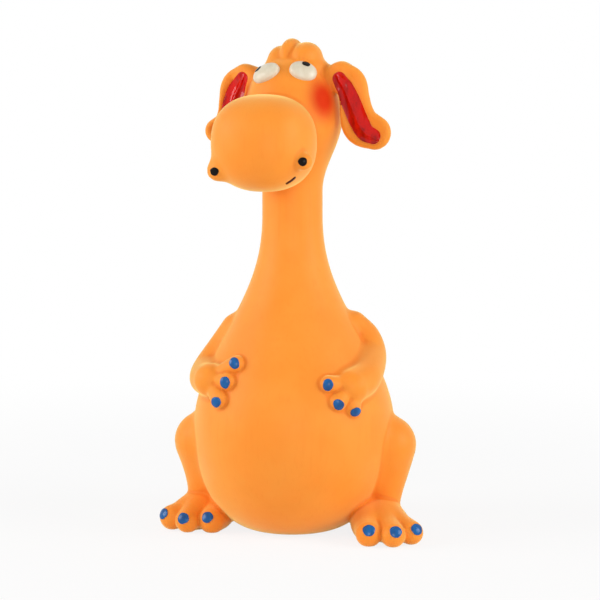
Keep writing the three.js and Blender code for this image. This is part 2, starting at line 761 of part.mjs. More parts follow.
function legLimb(leg, grow = 0) {
  const root = ankle(leg);
  const heel = root.clone().setZ(HEEL_HEIGHT).setY(root.y - HEEL_AHEAD);
  const knee = new THREE.Vector3(legOut(leg, KNEE_OUT), -KNEE_FORWARD, KNEE_HEIGHT);
  const hip = new THREE.Vector3(legOut(leg, HIP_OUT), HIP_BACK, HIP_HEIGHT);
  const middle = knee.clone().lerp(root, (KNEE_HEIGHT - SHIN_HEIGHT) / (KNEE_HEIGHT - ANKLE_HEIGHT));
  const outward = new THREE.Vector3(leg.sign, 0, 0);
  const thigh = swell(
    [
      { at: hip, wide: HIP_RADIUS },
      { at: knee, wide: KNEE_RADIUS },
    ],
    outward,
    { grow },
  );
  const shin = swell(
    [
      { at: knee, wide: SHIN_TOP_RADIUS },
      { at: middle, wide: SHIN_RADIUS },
      { at: root, wide: ANKLE_RADIUS },
      { at: heel, wide: HEEL_RADIUS },
    ],
    outward,
    { grow, steps: SHORT_STEPS },
  );
  const toes = toeTips(leg).map((tip) => finger(heel, tip, TOE_RADIUS, grow));
  return joined([thigh, shin, ...toes]);
}

function legPiece(leg) {
  const footprint = 4 * BELLY_RADIUS;
  const floor = box([footprint, footprint, HEEL_RADIUS], [0, 0, -HEEL_RADIUS / 2]);
  return cut(legLimb(leg), bodyCore(GAP), floor);
}

// Nails: round caps on the fingers and toes
function nail(digit, lift, outward, nailRadius, limb) {
  const along = digit.tip.clone().sub(digit.root).normalize();
  const normal = along.multiplyScalar(Math.cos(radians(lift)));
  normal.addScaledVector(outward, Math.sin(radians(lift))).normalize();
  return cut(cap(digit.tip, normal, digit.radius, nailRadius, NAIL_PROUD), limb);
}

function fingerNails(arm) {
  const limb = armLimb(arm, GAP).add(bodyCore(GAP));
  const palm = armPoint(arm, arm.palm);
  return fingerTips(arm).map((place) => {
    const tip = armPoint(arm, place);
    const outward = tip.clone().setZ(0).normalize();
    const digit = { root: palm, tip, radius: FINGER_RADIUS };
    return nail(digit, FINGER_NAIL_LIFT, outward, FINGER_NAIL_RADIUS, limb);
  });
}

function toeNails(leg) {
  const limb = legLimb(leg, GAP);
  const root = ankle(leg).setZ(TOE_HEIGHT);
  const upward = new THREE.Vector3(0, 0, 1);
  return toeTips(leg).map((tip) => {
    const digit = { root, tip, radius: TOE_RADIUS };
    return nail(digit, TOE_NAIL_LIFT, upward, TOE_NAIL_RADIUS, limb);
  });
}

// Squeaker: a cup gripping the base between two lips, with a slotted plate, a reed and its clamp
const cupTop = CUP_INSET + CUP_HEIGHT;
const plateTop = cupTop - PLATE_RECESS;
const ledgeHeight = plateTop - PLATE_THICK - SEAT;
const cupBore = CUP_RADIUS - CUP_WALL;
const reedRoot = -REED_LENGTH / 2;
const clampCentre = reedRoot + CLAMP_LENGTH / 2;
const reedBottom = plateTop + REED_LIFT;

function squeakerCup() {
  const floorTop = CUP_INSET + LIP_THICK;
  const innerLip = BASE_WALL + GAP;
  const profile = [
    [AIR_HOLE_RADIUS, CUP_INSET],
    [OUTER_LIP_RADIUS, CUP_INSET],
    [OUTER_LIP_RADIUS, floorTop],
    [CUP_RADIUS, floorTop],
    [CUP_RADIUS, innerLip],
    [INNER_LIP_RADIUS, innerLip],
    [CUP_RADIUS, innerLip + LIP_THICK],
    [CUP_RADIUS, cupTop],
    [cupBore, cupTop],
    [cupBore, ledgeHeight],
    [cupBore - LEDGE_WIDTH, ledgeHeight],
    [cupBore - LEDGE_WIDTH, floorTop],
    [AIR_HOLE_RADIUS, floorTop],
    [AIR_HOLE_RADIUS, CUP_INSET],
  ];
  return solidOf(turned(profile, SMALL_SEGMENTS));
}

function reedPlate() {
  const disc = new THREE.CylinderGeometry(cupBore - GAP, cupBore - GAP, PLATE_THICK, SMALL_SEGMENTS);
  const plate = solidOf(disc.rotateX(Math.PI / 2).translate(0, 0, plateTop - PLATE_THICK / 2));
  const slotCentre = reedRoot + CLAMP_LENGTH + GAP + SLOT_LENGTH / 2;
  const slotSize = [SLOT_LENGTH, SLOT_WIDTH, 2 * PLATE_THICK];
  const slot = box(slotSize, [slotCentre, 0, plateTop - PLATE_THICK / 2]);
  return plate.subtract(slot);
}

function reedTongue() {
  return box([REED_LENGTH, REED_WIDTH, REED_THICK], [0, 0, reedBottom + REED_THICK / 2]);
}

function reedClamp() {
  const width = REED_WIDTH + 2 * (GAP + CLAMP_FOOT_WIDTH);
  const bottom = plateTop + SEAT;
  const top = reedBottom + REED_THICK + GAP + CLAMP_BAR_THICK;
  const block = box([CLAMP_LENGTH, width, top - bottom], [clampCentre, 0, (top + bottom) / 2]);
  const tunnelTop = reedBottom + REED_THICK + GAP;
  const tunnel = box(
    [2 * CLAMP_LENGTH, REED_WIDTH + 2 * GAP, 2 * (tunnelTop - bottom)],
    [clampCentre, 0, bottom],
  );
  return block.subtract(tunnel);
}

// Belly wall: a round patch of the skin, cut along the direction in which it is pressed
function pressColumn(radius) {
  const column = new THREE.CylinderGeometry(radius, radius, 2 * BELLY_RADIUS, TURNED_SEGMENTS);
  return solidOf(column.translate(0, -BELLY_RADIUS, PANEL_HEIGHT));
}

// The whole figure
const toy = new THREE.Group();

const skin = bodySkin();
toy.add(piece("body_shell", cut(skin, pressColumn(PANEL_RADIUS + GAP)), LATEX));
toy.add(piece("belly_panel", skin.intersect(pressColumn(PANEL_RADIUS)), LATEX));
toy.add(piece("neck", neckTube(), LATEX));

const head = new THREE.Group();
head.position.set(0, 0, HEAD_HEIGHT);
head.rotation.z = radians(-HEAD_TURN);
head.add(piece("head", headSkin(), LATEX));
head.add(piece("muzzle", muzzleSkin(), LATEX));
head.add(piece("hair_tuft", hairTuft(), LATEX));
for (const side of ["left", "right"]) {
  const eye = EYES[side];
  head.add(piece(`ear_${side}`, earFlap(EARS[side]), LATEX));
  head.add(piece(`ear_lining_${side}`, earLining(EARS[side]), LINING_RED));
  head.add(piece(`eye_${side}`, cut(eyeDome(eye), headCore(GAP)), EYE_WHITE));
  head.add(piece(`pupil_${side}`, pupil(eye), GLOSS_BLACK));
  head.add(piece(`nostril_${side}`, nostril(NOSTRILS[side]), GLOSS_BLACK));
}
toy.add(head);

for (const arm of ARMS) {
  toy.add(piece(`arm_${arm.side}`, armPiece(arm), LATEX));
  fingerNails(arm).forEach((spot, i) => {
    toy.add(piece(`finger_nail_${arm.side}_${FINGER_NAMES[i]}`, spot, NAIL_BLUE));
  });
}

for (const leg of LEGS) {
  toy.add(piece(`leg_${leg.side}`, legPiece(leg), LATEX));
  toeNails(leg).forEach((spot, i) => {
    toy.add(piece(`toe_nail_${leg.side}_${TOE_NAMES[i]}`, spot, NAIL_BLUE));
  });
}

toy.add(piece("squeaker_cup", squeakerCup(), CLEAR_PLASTIC));
toy.add(piece("reed_plate", reedPlate(), CLEAR_PLASTIC));
toy.add(piece("squeaker_reed", reedTongue(), REED_FILM));
toy.add(piece("reed_clamp", reedClamp(), CLEAR_PLASTIC));

// Stand the figure on the floor with the middle of its outline over the origin
toy.updateMatrixWorld(true);
const outline = new THREE.Box3().setFromObject(toy, true);
const middle = outline.getCenter(new THREE.Vector3());
toy.position.set(-middle.x, -middle.y, -outline.min.z);

export default toy;
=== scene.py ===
import bpy
import math
import numpy as np
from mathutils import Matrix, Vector


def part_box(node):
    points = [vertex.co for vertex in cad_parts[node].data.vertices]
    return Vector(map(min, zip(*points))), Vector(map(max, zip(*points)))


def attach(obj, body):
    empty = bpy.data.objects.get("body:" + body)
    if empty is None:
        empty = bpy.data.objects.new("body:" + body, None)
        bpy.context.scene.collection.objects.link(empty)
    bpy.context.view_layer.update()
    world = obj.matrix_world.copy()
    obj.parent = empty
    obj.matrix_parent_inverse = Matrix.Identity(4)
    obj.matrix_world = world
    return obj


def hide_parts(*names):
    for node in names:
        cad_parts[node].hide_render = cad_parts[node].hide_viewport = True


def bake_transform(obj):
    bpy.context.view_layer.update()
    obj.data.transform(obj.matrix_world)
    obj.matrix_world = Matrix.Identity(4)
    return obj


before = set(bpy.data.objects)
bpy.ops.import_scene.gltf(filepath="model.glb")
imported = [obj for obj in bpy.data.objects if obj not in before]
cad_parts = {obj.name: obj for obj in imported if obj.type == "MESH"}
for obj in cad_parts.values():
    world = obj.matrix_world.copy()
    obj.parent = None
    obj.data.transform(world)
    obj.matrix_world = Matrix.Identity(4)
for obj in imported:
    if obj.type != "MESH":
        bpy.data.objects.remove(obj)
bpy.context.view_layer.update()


# Body and neck
# The toy is one hollow skin of latex, cast in a mould like a bottle: a round belly on a small flat base,
# drawn up into a long neck and the head. It is shaped here in millimetres about the neck's own axis,
# as depths below the surface that the other lumps of the figure are then joined to.
MM = 0.001
neck_low, neck_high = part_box("neck")
AXIS = np.array([(neck_low.x + neck_high.x) / 2, (neck_low.y + neck_high.y) / 2, 0]) / MM
BASE_RADIUS = 12.8
BELLY_RADIUS = 36.7
BELLY_HEIGHT = 38
NECK_RADIUS = 11
NECK_HEIGHT = 117
SHOULDER_FULLNESS = 1.25
BELLY_LEAN = 2
BELLY_SWAY = 0.9
LEAN_TOP = 88
THROAT_HEIGHT = 124
HEAD_HEIGHT = 150
HEAD_RADIUS = 18
CROWN_RISE = 23.5
BEND_POINTS = 40
NECK_POINTS = 120
TABLE_STEP = 0.5
TABLE_RADIUS = 70
TABLE_LOW = -10
TABLE_HIGH = 190
TABLE_EDGE = 1.001
NO_LENGTH = 1e-9


def body_radius(height):
    below = np.clip((BELLY_HEIGHT - height) / BELLY_HEIGHT, 0, 1)
    bowl = BASE_RADIUS + (BELLY_RADIUS - BASE_RADIUS) * np.sqrt(1 - below**2)
    share = np.clip((height - BELLY_HEIGHT) / (NECK_HEIGHT - BELLY_HEIGHT), 0, 1)
    fullness = (0.5 + 0.5 * np.cos(np.pi * share)) ** SHOULDER_FULLNESS
    return np.where(height < BELLY_HEIGHT, bowl, NECK_RADIUS + (BELLY_RADIUS - NECK_RADIUS) * fullness)


def head_radius(height):
    rise = np.clip((height - HEAD_HEIGHT) / CROWN_RISE, 0, 1)
    drop = np.clip((HEAD_HEIGHT - height) / (HEAD_HEIGHT - THROAT_HEIGHT), 0, 1)
    throat = NECK_RADIUS + (HEAD_RADIUS - NECK_RADIUS) * (0.5 + 0.5 * np.cos(np.pi * drop))
    return np.where(height > HEAD_HEIGHT, HEAD_RADIUS * np.sqrt(1 - rise**2), throat)


def turned_radius(height):
    return np.where(height < (NECK_HEIGHT + THROAT_HEIGHT) / 2, body_radius(height), head_radius(height))


# The share of the belly's lean at each height: none at the base and above the shoulders
def leaning(height):
    return np.sin(np.pi * np.clip(height / LEAN_TOP, 0, 1)) ** 2


# How far each place of a half section lies from the turned outline, negative inside it
def turned_table():
    crown = HEAD_HEIGHT + CROWN_RISE
    bend = np.linspace(0, np.pi / 2, BEND_POINTS)
    heights = np.concatenate([
        BELLY_HEIGHT * (1 - np.cos(bend)),
        np.linspace(BELLY_HEIGHT, HEAD_HEIGHT, NECK_POINTS)[1:],
        HEAD_HEIGHT + CROWN_RISE * np.sin(bend)[1:],
    ])
    outline = np.stack([turned_radius(heights), heights], axis=1)
    outline = np.vstack([[0, 0], outline])
    radii = np.arange(0, TABLE_RADIUS, TABLE_STEP)
    levels = np.arange(TABLE_LOW, TABLE_HIGH, TABLE_STEP)
    places = np.stack(np.meshgrid(radii, levels, indexing="ij"), axis=-1)
    nearest = np.full(places.shape[:2], np.inf)
    for start, end in zip(outline[:-1], outline[1:]):
        along = end - start
        share = np.clip((places - start) @ along / max(along @ along, NO_LENGTH), 0, 1)
        nearest = np.minimum(nearest, np.linalg.norm(places - start - share[..., None] * along, axis=-1))
    within = places[..., 0] < turned_radius(places[..., 1])
    within &= (places[..., 1] > 0) & (places[..., 1] < crown)
    return np.where(within, -nearest, nearest)


TURNED = turned_table()


def core_distance(points):
    lent = leaning(points[:, 2])
    radius = np.hypot(points[:, 0] - BELLY_SWAY * lent, points[:, 1] + BELLY_LEAN * lent)
    across = np.clip(radius / TABLE_STEP, 0, TURNED.shape[0] - TABLE_EDGE)
    upward = np.clip((points[:, 2] - TABLE_LOW) / TABLE_STEP, 0, TURNED.shape[1] - TABLE_EDGE)
    i, j = across.astype(int), upward.astype(int)
    u, v = across - i, upward - j
    low = TURNED[i, j] * (1 - u) + TURNED[i + 1, j] * u
    high = TURNED[i, j + 1] * (1 - u) + TURNED[i + 1, j + 1] * u
    return low * (1 - v) + high * v


# Muzzle
# The big round nose end stands out in front of the head, cast in one with it from the same latex, with a
# round swelling for each nostril low on its sides. The whole head looks a little to its own right.
HEAD_TURN = math.radians(17.5)
MUZZLE_HALVES = np.array([18, 17.5, 17])
MUZZLE_PLACE = np.array([0, -23, 141])
MUZZLE_SQUARENESS = 2.35
MUZZLE_FILLET = 1.8
NOSTRILS = {
    "left": {
        "place": np.array([18, -28, 134.6]), "swell": 3, "fillet": 2, "facing": math.radians(14),
    },
    "right": {
        "place": np.array([-13.7, -33, 131.2]), "swell": 3.1, "fillet": 4.5, "facing": math.radians(20),
    },
}
EGG_HEART = 1e-6
clay = []


# A lump to be joined to the figure: its depths, a ball round it, and the fillet along its join
def add_clay(distance, centre, reach, fillet):
    clay.append((distance, np.array(centre, float), reach, fillet))


def to_head(points):
    x, y, z = points[..., 0], points[..., 1], points[..., 2]
    side = x * math.cos(HEAD_TURN) - y * math.sin(HEAD_TURN)
    depth = x * math.sin(HEAD_TURN) + y * math.cos(HEAD_TURN)
    return np.stack([side, depth, z], axis=-1)


def from_head(point):
    side, depth, z = np.moveaxis(np.asarray(point, float), -1, 0)
    x = side * math.cos(HEAD_TURN) + depth * math.sin(HEAD_TURN)
    y = -side * math.sin(HEAD_TURN) + depth * math.cos(HEAD_TURN)
    return np.stack([x, y, z], axis=-1)


def egg_distance(points, halves, squareness=2):
    scaled = np.abs(points) / halves + EGG_HEART
    size = (scaled**squareness).sum(axis=1) ** (1 / squareness)
    slope = np.sqrt(((scaled ** (squareness - 1) / halves) ** 2).sum(axis=1)) / size ** (squareness - 1)
    return (size - 1) / slope


def add_head_egg(place, halves, fillet, squareness=2):
    def distance(points):
        return egg_distance(to_head(points) - place, np.asarray(halves, float), squareness)
    add_clay(distance, from_head(place), max(halves), fillet)


add_head_egg(MUZZLE_PLACE, MUZZLE_HALVES, MUZZLE_FILLET, MUZZLE_SQUARENESS)
for nostril in NOSTRILS.values():
    add_head_egg(nostril["place"], [nostril["swell"]] * 3, nostril["fillet"])


# Hair tuft
# Four soft bumps of hair run across the crown, with a narrow crease between each and the next. They are
# part of the same latex casting as the head.
TUFT_LUMPS = [
    ((-4.2, 0, 170.0), (5.0, 7, 6.4)),
    ((0.1, 0, 173.2), (3.5, 7.5, 5.7)),
    ((5.9, 0, 171.9), (5.2, 7.5, 5.5)),
    ((8.8, 0.5, 167.4), (4.4, 6.5, 5)),
]
TUFT_FILLET = 1.7
for place, halves in TUFT_LUMPS:
    add_head_egg(np.array(place), halves, TUFT_FILLET)


# Ears
# Each ear is a floppy latex flap with a thick rolled rim round a dished inside. It hangs from a short
# thick stalk on the side of the crown and stands clear of the cheek below, so that it can be lifted.
EAR_ROOT = np.array([19.36, 0.8, 165.22])
EARS = {
    "left": {
        "sign": 1,
        "flap": [
            (0, 0, 4.6), (3.5, 3.2, 6.1), (4.9, 8.2, 6.0),
            (5.9, 13.2, 6.4), (8, 18, 7), (13.2, 20.5, 6),
        ],
        "lining": [
            (0.3, 1.4, 2.3), (2.6, 6.2, 3.1), (5, 11.5, 3.5),
            (7.4, 16.8, 3.5), (9.7, 20.2, 3.1), (12.8, 21.8, 2.5),
        ],
    },
    "right": {
        "sign": -1,
        "flap": [
            (0, 0, 4.6), (3.4, 3.2, 6.0), (4.6, 8.2, 5.8),
            (5.6, 13.2, 5.4), (7.7, 17.2, 5.1), (11.9, 19.3, 4.4),
        ],
        "lining": [
            (0, 0.6, 2.3), (3.1, 4.7, 3.5), (5, 9.8, 3.6),
            (6.1, 14.8, 3.6), (8.1, 17.8, 3), (10.9, 18.9, 2.2),
        ],
    },
}
EAR_STEPS = 6
EAR_MIDDLE = np.array([6, 0, -10])
EAR_REACH = 22
EAR_HALF_THICK = 2
EAR_DISH = 0.9
DISH_FILLET = 1.6
EAR_CURL = 1
EAR_CURL_REACH = 4
EAR_CLEARANCE = 1.3
EAR_CLEARANCE_FILLET = 0.8
EAR_HELD = 4
EAR_RELEASE = 3
EAR_ROOT_SINK = 6
EAR_FLOW = 5
EAR_FLOW_REACH = 7
EAR_FLOW_LEAST = 0.1
STALK_START = np.array([11, 2.5, 164.5])
STALK_END = np.array([19.36, 1.8, 166.4])
STALK_RADII = (4, 3.2)
STALK_REACH = 16
STALK_FILLET = 3


# Two lumps run together with a fillet of the given reach, as the mould's carver rounds an inside corner
def joined(first, second, fillet):
    near = np.maximum(fillet - np.abs(first - second), 0) / fillet
    return np.minimum(first, second) - near**2 * fillet / 4


def carved(whole, tool, fillet):
    return -joined(-whole, tool, fillet)


# A chain of places and sizes through the given ones, on a smooth curve
def flowing(stations, steps):
    stations = np.asarray(stations, float)
    ends = np.vstack([2 * stations[0] - stations[1], stations, 2 * stations[-1] - stations[-2]])
    chain = []
    for before, start, end, after in zip(ends[:-3], ends[1:-2], ends[2:-1], ends[3:]):
        for t in np.arange(steps) / steps:
            chain.append(0.5 * (
                2 * start + (end - before) * t
                + (2 * before - 5 * start + 4 * end - after) * t**2
                + (3 * start - before - 3 * end + after) * t**3
            ))
    return np.vstack([chain, stations[-1:]])


# How far places lie from a chain of balls whose last column is their radius
def chain_distance(points, chain):
    nearest = np.full(len(points), np.inf)
    for start, end in zip(chain[:-1], chain[1:]):
        along = end[:-1] - start[:-1]
        share = np.clip((points - start[:-1]) @ along / max(along @ along, NO_LENGTH), 0, 1)
        away = np.linalg.norm(points - start[:-1] - share[:, None] * along, axis=1)
        nearest = np.minimum(nearest, away - start[-1] - share * (end[-1] - start[-1]))
    return nearest


def eased(share):
    share = np.clip(share, 0, 1)
    return share * share * (3 - 2 * share)


def ear_chain(stations):
    places = [(EAR_ROOT[0] + out, EAR_ROOT[2] - drop, wide) for out, drop, wide in stations]
    return flowing(places, EAR_STEPS)


for ear in EARS.values():
    ear["flap_chain"] = ear_chain(ear["flap"])
    ear["lining_chain"] = ear_chain(ear["lining"])


# The flap with its dish, worked in the head's frame with the ear's own side turned to +X
def ear_distance(points, ear):
    local = to_head(points) * [ear["sign"], 1, 1]
    edge = chain_distance(local[:, [0, 2]], ear["flap_chain"])
    dish_edge = chain_distance(local[:, [0, 2]], ear["lining_chain"])
    middle = EAR_ROOT[1] - EAR_CURL * eased((edge + EAR_CURL_REACH) / EAR_CURL_REACH)
    front = local[:, 1] - middle
    flap = np.hypot(np.maximum(edge + EAR_HALF_THICK, 0), front) - EAR_HALF_THICK
    flap = carved(flap, np.maximum(dish_edge, front + EAR_HALF_THICK - EAR_DISH), DISH_FILLET)
    from_root = np.hypot(local[:, 0] - EAR_ROOT[0], local[:, 2] - EAR_ROOT[2])
    free = eased((from_root - EAR_HELD) / EAR_RELEASE)
    cheek = core_distance(points) - EAR_CLEARANCE * free + EAR_ROOT_SINK * (1 - free)
    return carved(flap, cheek, EAR_CLEARANCE_FILLET)


def stalk_distance(points, ear):
    local = to_head(points) * [ear["sign"], 1, 1]
    ends = [[*STALK_START, STALK_RADII[0]], [*STALK_END, STALK_RADII[1]]]
    return chain_distance(local, np.array(ends))


# The flap flows into the stalk at its root, and elsewhere only touches
def ear_fillet(points):
    local = np.abs(to_head(points)[:, [0, 2]]) - EAR_ROOT[[0, 2]]
    away = np.hypot(local[:, 0], local[:, 1])
    return EAR_FLOW_LEAST + EAR_FLOW * np.exp(-((away / EAR_FLOW_REACH) ** 2))


for ear in EARS.values():
    root = from_head(EAR_ROOT * [ear["sign"], 1, 1])
    middle = from_head((EAR_ROOT + EAR_MIDDLE) * [ear["sign"], 1, 1])
    add_clay(lambda points, ear=ear: stalk_distance(points, ear), root, STALK_REACH, STALK_FILLET)
    add_clay(lambda points, ear=ear: ear_distance(points, ear), middle, EAR_REACH, ear_fillet)


# Arms and hands
# The arms are moulded in the same latex against the sides of the belly: shoulder, elbow and a hand laid
# on the front, with three thick fingers that fan out. The left arm, on the +X side, is drawn up a little
# higher.
FINGER_RADIUS = 3.1
FINGER_SINK = 0.7
ARM_FILLET = 2.2
FINGER_FILLET = 0.9
LIMB_STEPS = 12
STRAIGHT = 1
ARM_RADII = (5.6, 5.6, 6, 5.8, 6)
ARMS = {
    "left": {
        "sign": 1,
        "joints": [(74.6, 96, -1.3), (70, 95, 0.9), (64, 87, -0.3), (58.5, 62, 0.6), (56, 47.2, 1)],
        "fingers": [(8, 9), (-34, 8.4), (-78, 7.4)],
    },
    "right": {
        "sign": -1,
        "joints": [(73.4, 88, -3.4), (66.5, 90, -2.3), (59, 82, -1.4), (56.8, 65, 0), (57, 52, 1)],
        "fingers": [(33, 11.6), (2, 9), (-36, 10)],
    },
}


# A place off the body's skin: height, angle from the front in degrees, distance
def body_point(height, angle, off):
    radius = float(body_radius(np.array(height))) + off
    turn = math.radians(angle)
    forward = BELLY_LEAN * float(leaning(height)) + radius * math.cos(turn)
    return np.array([radius * math.sin(turn), -forward, height])


def add_limb(stations, fillet, steps=LIMB_STEPS):
    chain = flowing(stations, steps)
    middle = (chain[:, :3].min(axis=0) + chain[:, :3].max(axis=0)) / 2
    reach = (np.linalg.norm(chain[:, :3] - middle, axis=1) + chain[:, 3]).max()
    add_clay(lambda points: chain_distance(points, chain), middle, reach, fillet)


# Where each finger ends, from its direction in degrees and its reach over the skin
def finger_tips(arm):
    height, angle, off = arm["joints"][-1]
    tips = []
    for pointing, reach in arm["fingers"]:
        turn = math.radians(pointing)
        tip_height = height + reach * math.sin(turn)
        inward = math.degrees(reach * math.cos(turn) / float(body_radius(np.array(tip_height))))
        tips.append(body_point(tip_height, arm["sign"] * (angle - inward), off - FINGER_SINK))
    return tips


for arm in ARMS.values():
    places = [body_point(height, arm["sign"] * angle, off) for height, angle, off in arm["joints"]]
    add_limb([[*place, radius] for place, radius in zip(places, ARM_RADII)], ARM_FILLET)
    for tip in finger_tips(arm):
        add_limb([[*places[-1], FINGER_RADIUS], [*tip, FINGER_RADIUS]], FINGER_FILLET, STRAIGHT)


# Legs and feet
# The legs are moulded in the same latex against the hips: a haunch on the table, a raised knee, a shin
# that narrows to the ankle, and a broad flat foot that ends in three round toes. The soles lie in one
# plane with the base.
LEG_FILLET = 2.6
TOE_FILLET = 1.1
TOE_STEPS = 6
INSTEP_FILLET = 4
LEGS = {
    "left": {
        "sign": 1,
        "thigh": [(27.8, 6, 12.5, 11), (35.1, -3.2, 32, 10.4)],
        "shin": [
            (35.1, -3.2, 32, 9.6), (34.8, -3.4, 21, 7.6),
            (34.9, -4.5, 11, 5.3), (34.8, -7, 6.5, 6),
        ],
        "toes": {
            "inner": [(28, -2, 8.5, 7), (29.4, -14, 5.4, 5.7), (31, -27.4, 4.2, 4.6)],
            "middle": [(34, -6, 8, 6), (35.6, -17, 5.6, 5.2), (39.6, -27.9, 4.2, 4.4)],
            "outer": [(35.4, -7, 7.5, 5), (40, -16, 5.4, 4.8), (45.6, -23.2, 4.2, 4.3)],
        },
        "instep": ((33.6, -12, 4.4), (9.2, 10.5, 6.4)),
    },
    "right": {
        "sign": -1,
        "thigh": [(25.4, 6, 12.5, 11), (32.7, -3.2, 32, 10.4)],
        "shin": [
            (32.7, -3.2, 32, 9.6), (32.9, -2.4, 21, 7.0),
            (33.5, -1.6, 12, 5.5), (34, -3, 7.5, 6),
        ],
        "toes": {
            "inner": [(26.4, 0, 9, 6), (26, -7, 5.6, 5.4), (27.6, -14.2, 4.3, 4.8)],
            "middle": [(33, -2, 8, 6), (35, -9, 5.8, 5.4), (36.4, -15.4, 4.2, 4.4)],
            "outer": [(35, -3, 7.6, 5.4), (39.6, -8.5, 5.4, 4.8), (42.8, -11.8, 4.5, 4.6)],
        },
        "instep": ((33.2, -4.6, 4.6), (9.4, 7.6, 6.4)),
    },
}


def on_leg(leg, stations):
    return np.array(stations, float) * [leg["sign"], 1, 1, 1]


def add_instep(leg):
    place, halves = np.array(leg["instep"], float)
    place = place * [leg["sign"], 1, 1]
    add_clay(lambda points: egg_distance(points - place, halves), place, max(halves), INSTEP_FILLET)


for leg in LEGS.values():
    add_limb(on_leg(leg, leg["thigh"]), LEG_FILLET, STRAIGHT)
    add_limb(on_leg(leg, leg["shin"]), LEG_FILLET)
    for toe in leg["toes"].values():
        add_limb(on_leg(leg, toe), TOE_FILLET, TOE_STEPS)
    add_instep(leg)


# Latex skin
# The whole figure is one casting about 2.4 mm thick. It is cast here as a fine closed mesh, and cut
# where it flexes: round the belly wall, below the head and at the ears. The squeaker's seat is a stepped
# hole in the base.
GRAIN = 0.85
BLOCK = 4
FILLED = 0.05
CAST_LOW = np.array([-50, -43, -2.4])
CAST_HIGH = np.array([53.5, 38.2, 182])
CLAY_MARGIN = 4
SLOPE_STEP = 0.2
NORMAL_STEP = 0.15
FETTLE_ROUNDS = 5
FETTLE_SHARE = 0.5
SETTLE_ROUNDS = 3
SETTLE_LIMIT = 0.4
WALL = 2.4
WALL_LEAST = 0.5
PROBE_STEP = 0.5
PROBE_LAP = 0.3
PROBE_FREE = 0.75
CREASE_STEP = 1.6
CREASE_LIMIT = 0.5
SOLE_FILLET = 0.5
SEAT_RADIUS = 9.7
SEAT_DEPTH = 2
HOLE_RADIUS = 7.3
HOLE_DEPTH = 8
HOLE_RIM = 3.9
HOLE_MARGIN = 0.6
HOLE_ROOF = 1
NECK_SEAM = 106
PRESS_DIRECTION = np.array([0, -0.9943, -0.1069])
PRESS_SEAM = 29.9
PRESS_LOW = 11
EAR_SEAM = 17.3


def lumps_distance(points, lumps):
    whole = core_distance(points)
    for distance, centre, reach, fillet in lumps:
        near = np.flatnonzero(((points - centre) ** 2).sum(axis=1) < (reach + CLAY_MARGIN) ** 2)
        if len(near):
            part = points[near]
            rounding = fillet(part) if callable(fillet) else fillet
            whole[near] = joined(whole[near], distance(part), rounding)
    return whole


# All lumps together, cut flat at the soles and hollowed for the squeaker
def figure_distance(points):
    whole = lumps_distance(points, clay)
    low = np.flatnonzero(points[:, 2] < HOLE_DEPTH + CLAY_MARGIN)
    if len(low):
        part = points[low]
        radius = np.hypot(part[:, 0], part[:, 1])
        base = carved(whole[low], part[:, 2], SOLE_FILLET)
        base = carved(base, np.maximum(radius - SEAT_RADIUS, part[:, 2] - SEAT_DEPTH), SOLE_FILLET)
        whole[low] = carved(base, np.maximum(radius - HOLE_RADIUS, part[:, 2] - HOLE_DEPTH), SOLE_FILLET)
    return whole


def unit(vectors):
    return vectors / np.linalg.norm(vectors, axis=-1, keepdims=True)


# The outward direction of the surface at each place
def facing(points, step=SLOPE_STEP, depth=figure_distance):
    sides = []
    for axis in np.eye(3) * step:
        sides.append((depth(points + axis) - depth(points - axis)) / (2 * step))
    return unit(np.stack(sides, axis=1))


# Depths on a grid: exact near the surface, one value for each block further off
def cast_depths():
    counts = np.ceil((CAST_HIGH - CAST_LOW) / (GRAIN * BLOCK)).astype(int)
    steps = [CAST_LOW[i] + GRAIN * BLOCK * (np.arange(counts[i]) + 0.5) for i in range(3)]
    centres = np.stack(np.meshgrid(*steps, indexing="ij"), axis=-1)
    rough = figure_distance(centres.reshape(-1, 3)).reshape(counts)
    depths = rough.repeat(BLOCK, 0).repeat(BLOCK, 1).repeat(BLOCK, 2)
    near = np.argwhere(np.abs(depths) < GRAIN * BLOCK * 2)
    depths[tuple(near.T)] = figure_distance(CAST_LOW + GRAIN * near)
    return unpinched(depths)


# Fills grid squares where two inner corners meet only across a diagonal, so no edge joins four faces
def unpinched(depths):
    pinched = True
    while pinched:
        pinched = False
        for first, second in ((0, 1), (0, 2), (1, 2)):
            inside = depths < 0
            beside = np.roll(inside, -1, first)
            above = np.roll(inside, -1, second)
            across = np.roll(beside, -1, second)
            spots = np.argwhere((inside == across) & (beside == above) & (inside != beside))
            if len(spots):
                spots[inside[tuple(spots.T)], first] += 1
                depths[tuple(spots.T)] = -FILLED
                pinched = True
    return depths


# The surface where the depths change sign: one vertex in each cell that it crosses
def cast_surface(depths):
    inside = depths < 0
    cells = tuple(np.array(depths.shape) - 1)
    sums = np.zeros((np.prod(cells), 3))
    hits = np.zeros(np.prod(cells))
    rings = []
    for axis in range(3):
        step = np.eye(3, dtype=int)[axis]
        ahead = np.roll(inside, -1, axis)
        crossing = np.argwhere(inside != ahead)
        start = depths[tuple(crossing.T)]
        end = depths[tuple((crossing + step).T)]
        place = CAST_LOW + GRAIN * (crossing + (start / (start - end))[:, None] * step)
        across = np.eye(3, dtype=int)[(axis + 1) % 3]
        upward = np.eye(3, dtype=int)[(axis + 2) % 3]
        ring = []
        for corner in (-across - upward, -upward, 0 * across, -across):
            number = np.ravel_multi_index(tuple((crossing + corner).T), cells)
            np.add.at(sums, number, place)
            np.add.at(hits, number, 1)
            ring.append(number)
        ring = np.stack(ring, axis=1)
        ring[start > 0] = ring[start > 0][:, ::-1]
        rings.append(ring)
    used, quads = np.unique(np.vstack(rings), return_inverse=True)
    return sums[used] / hits[used, None], quads.reshape(-1, 4)


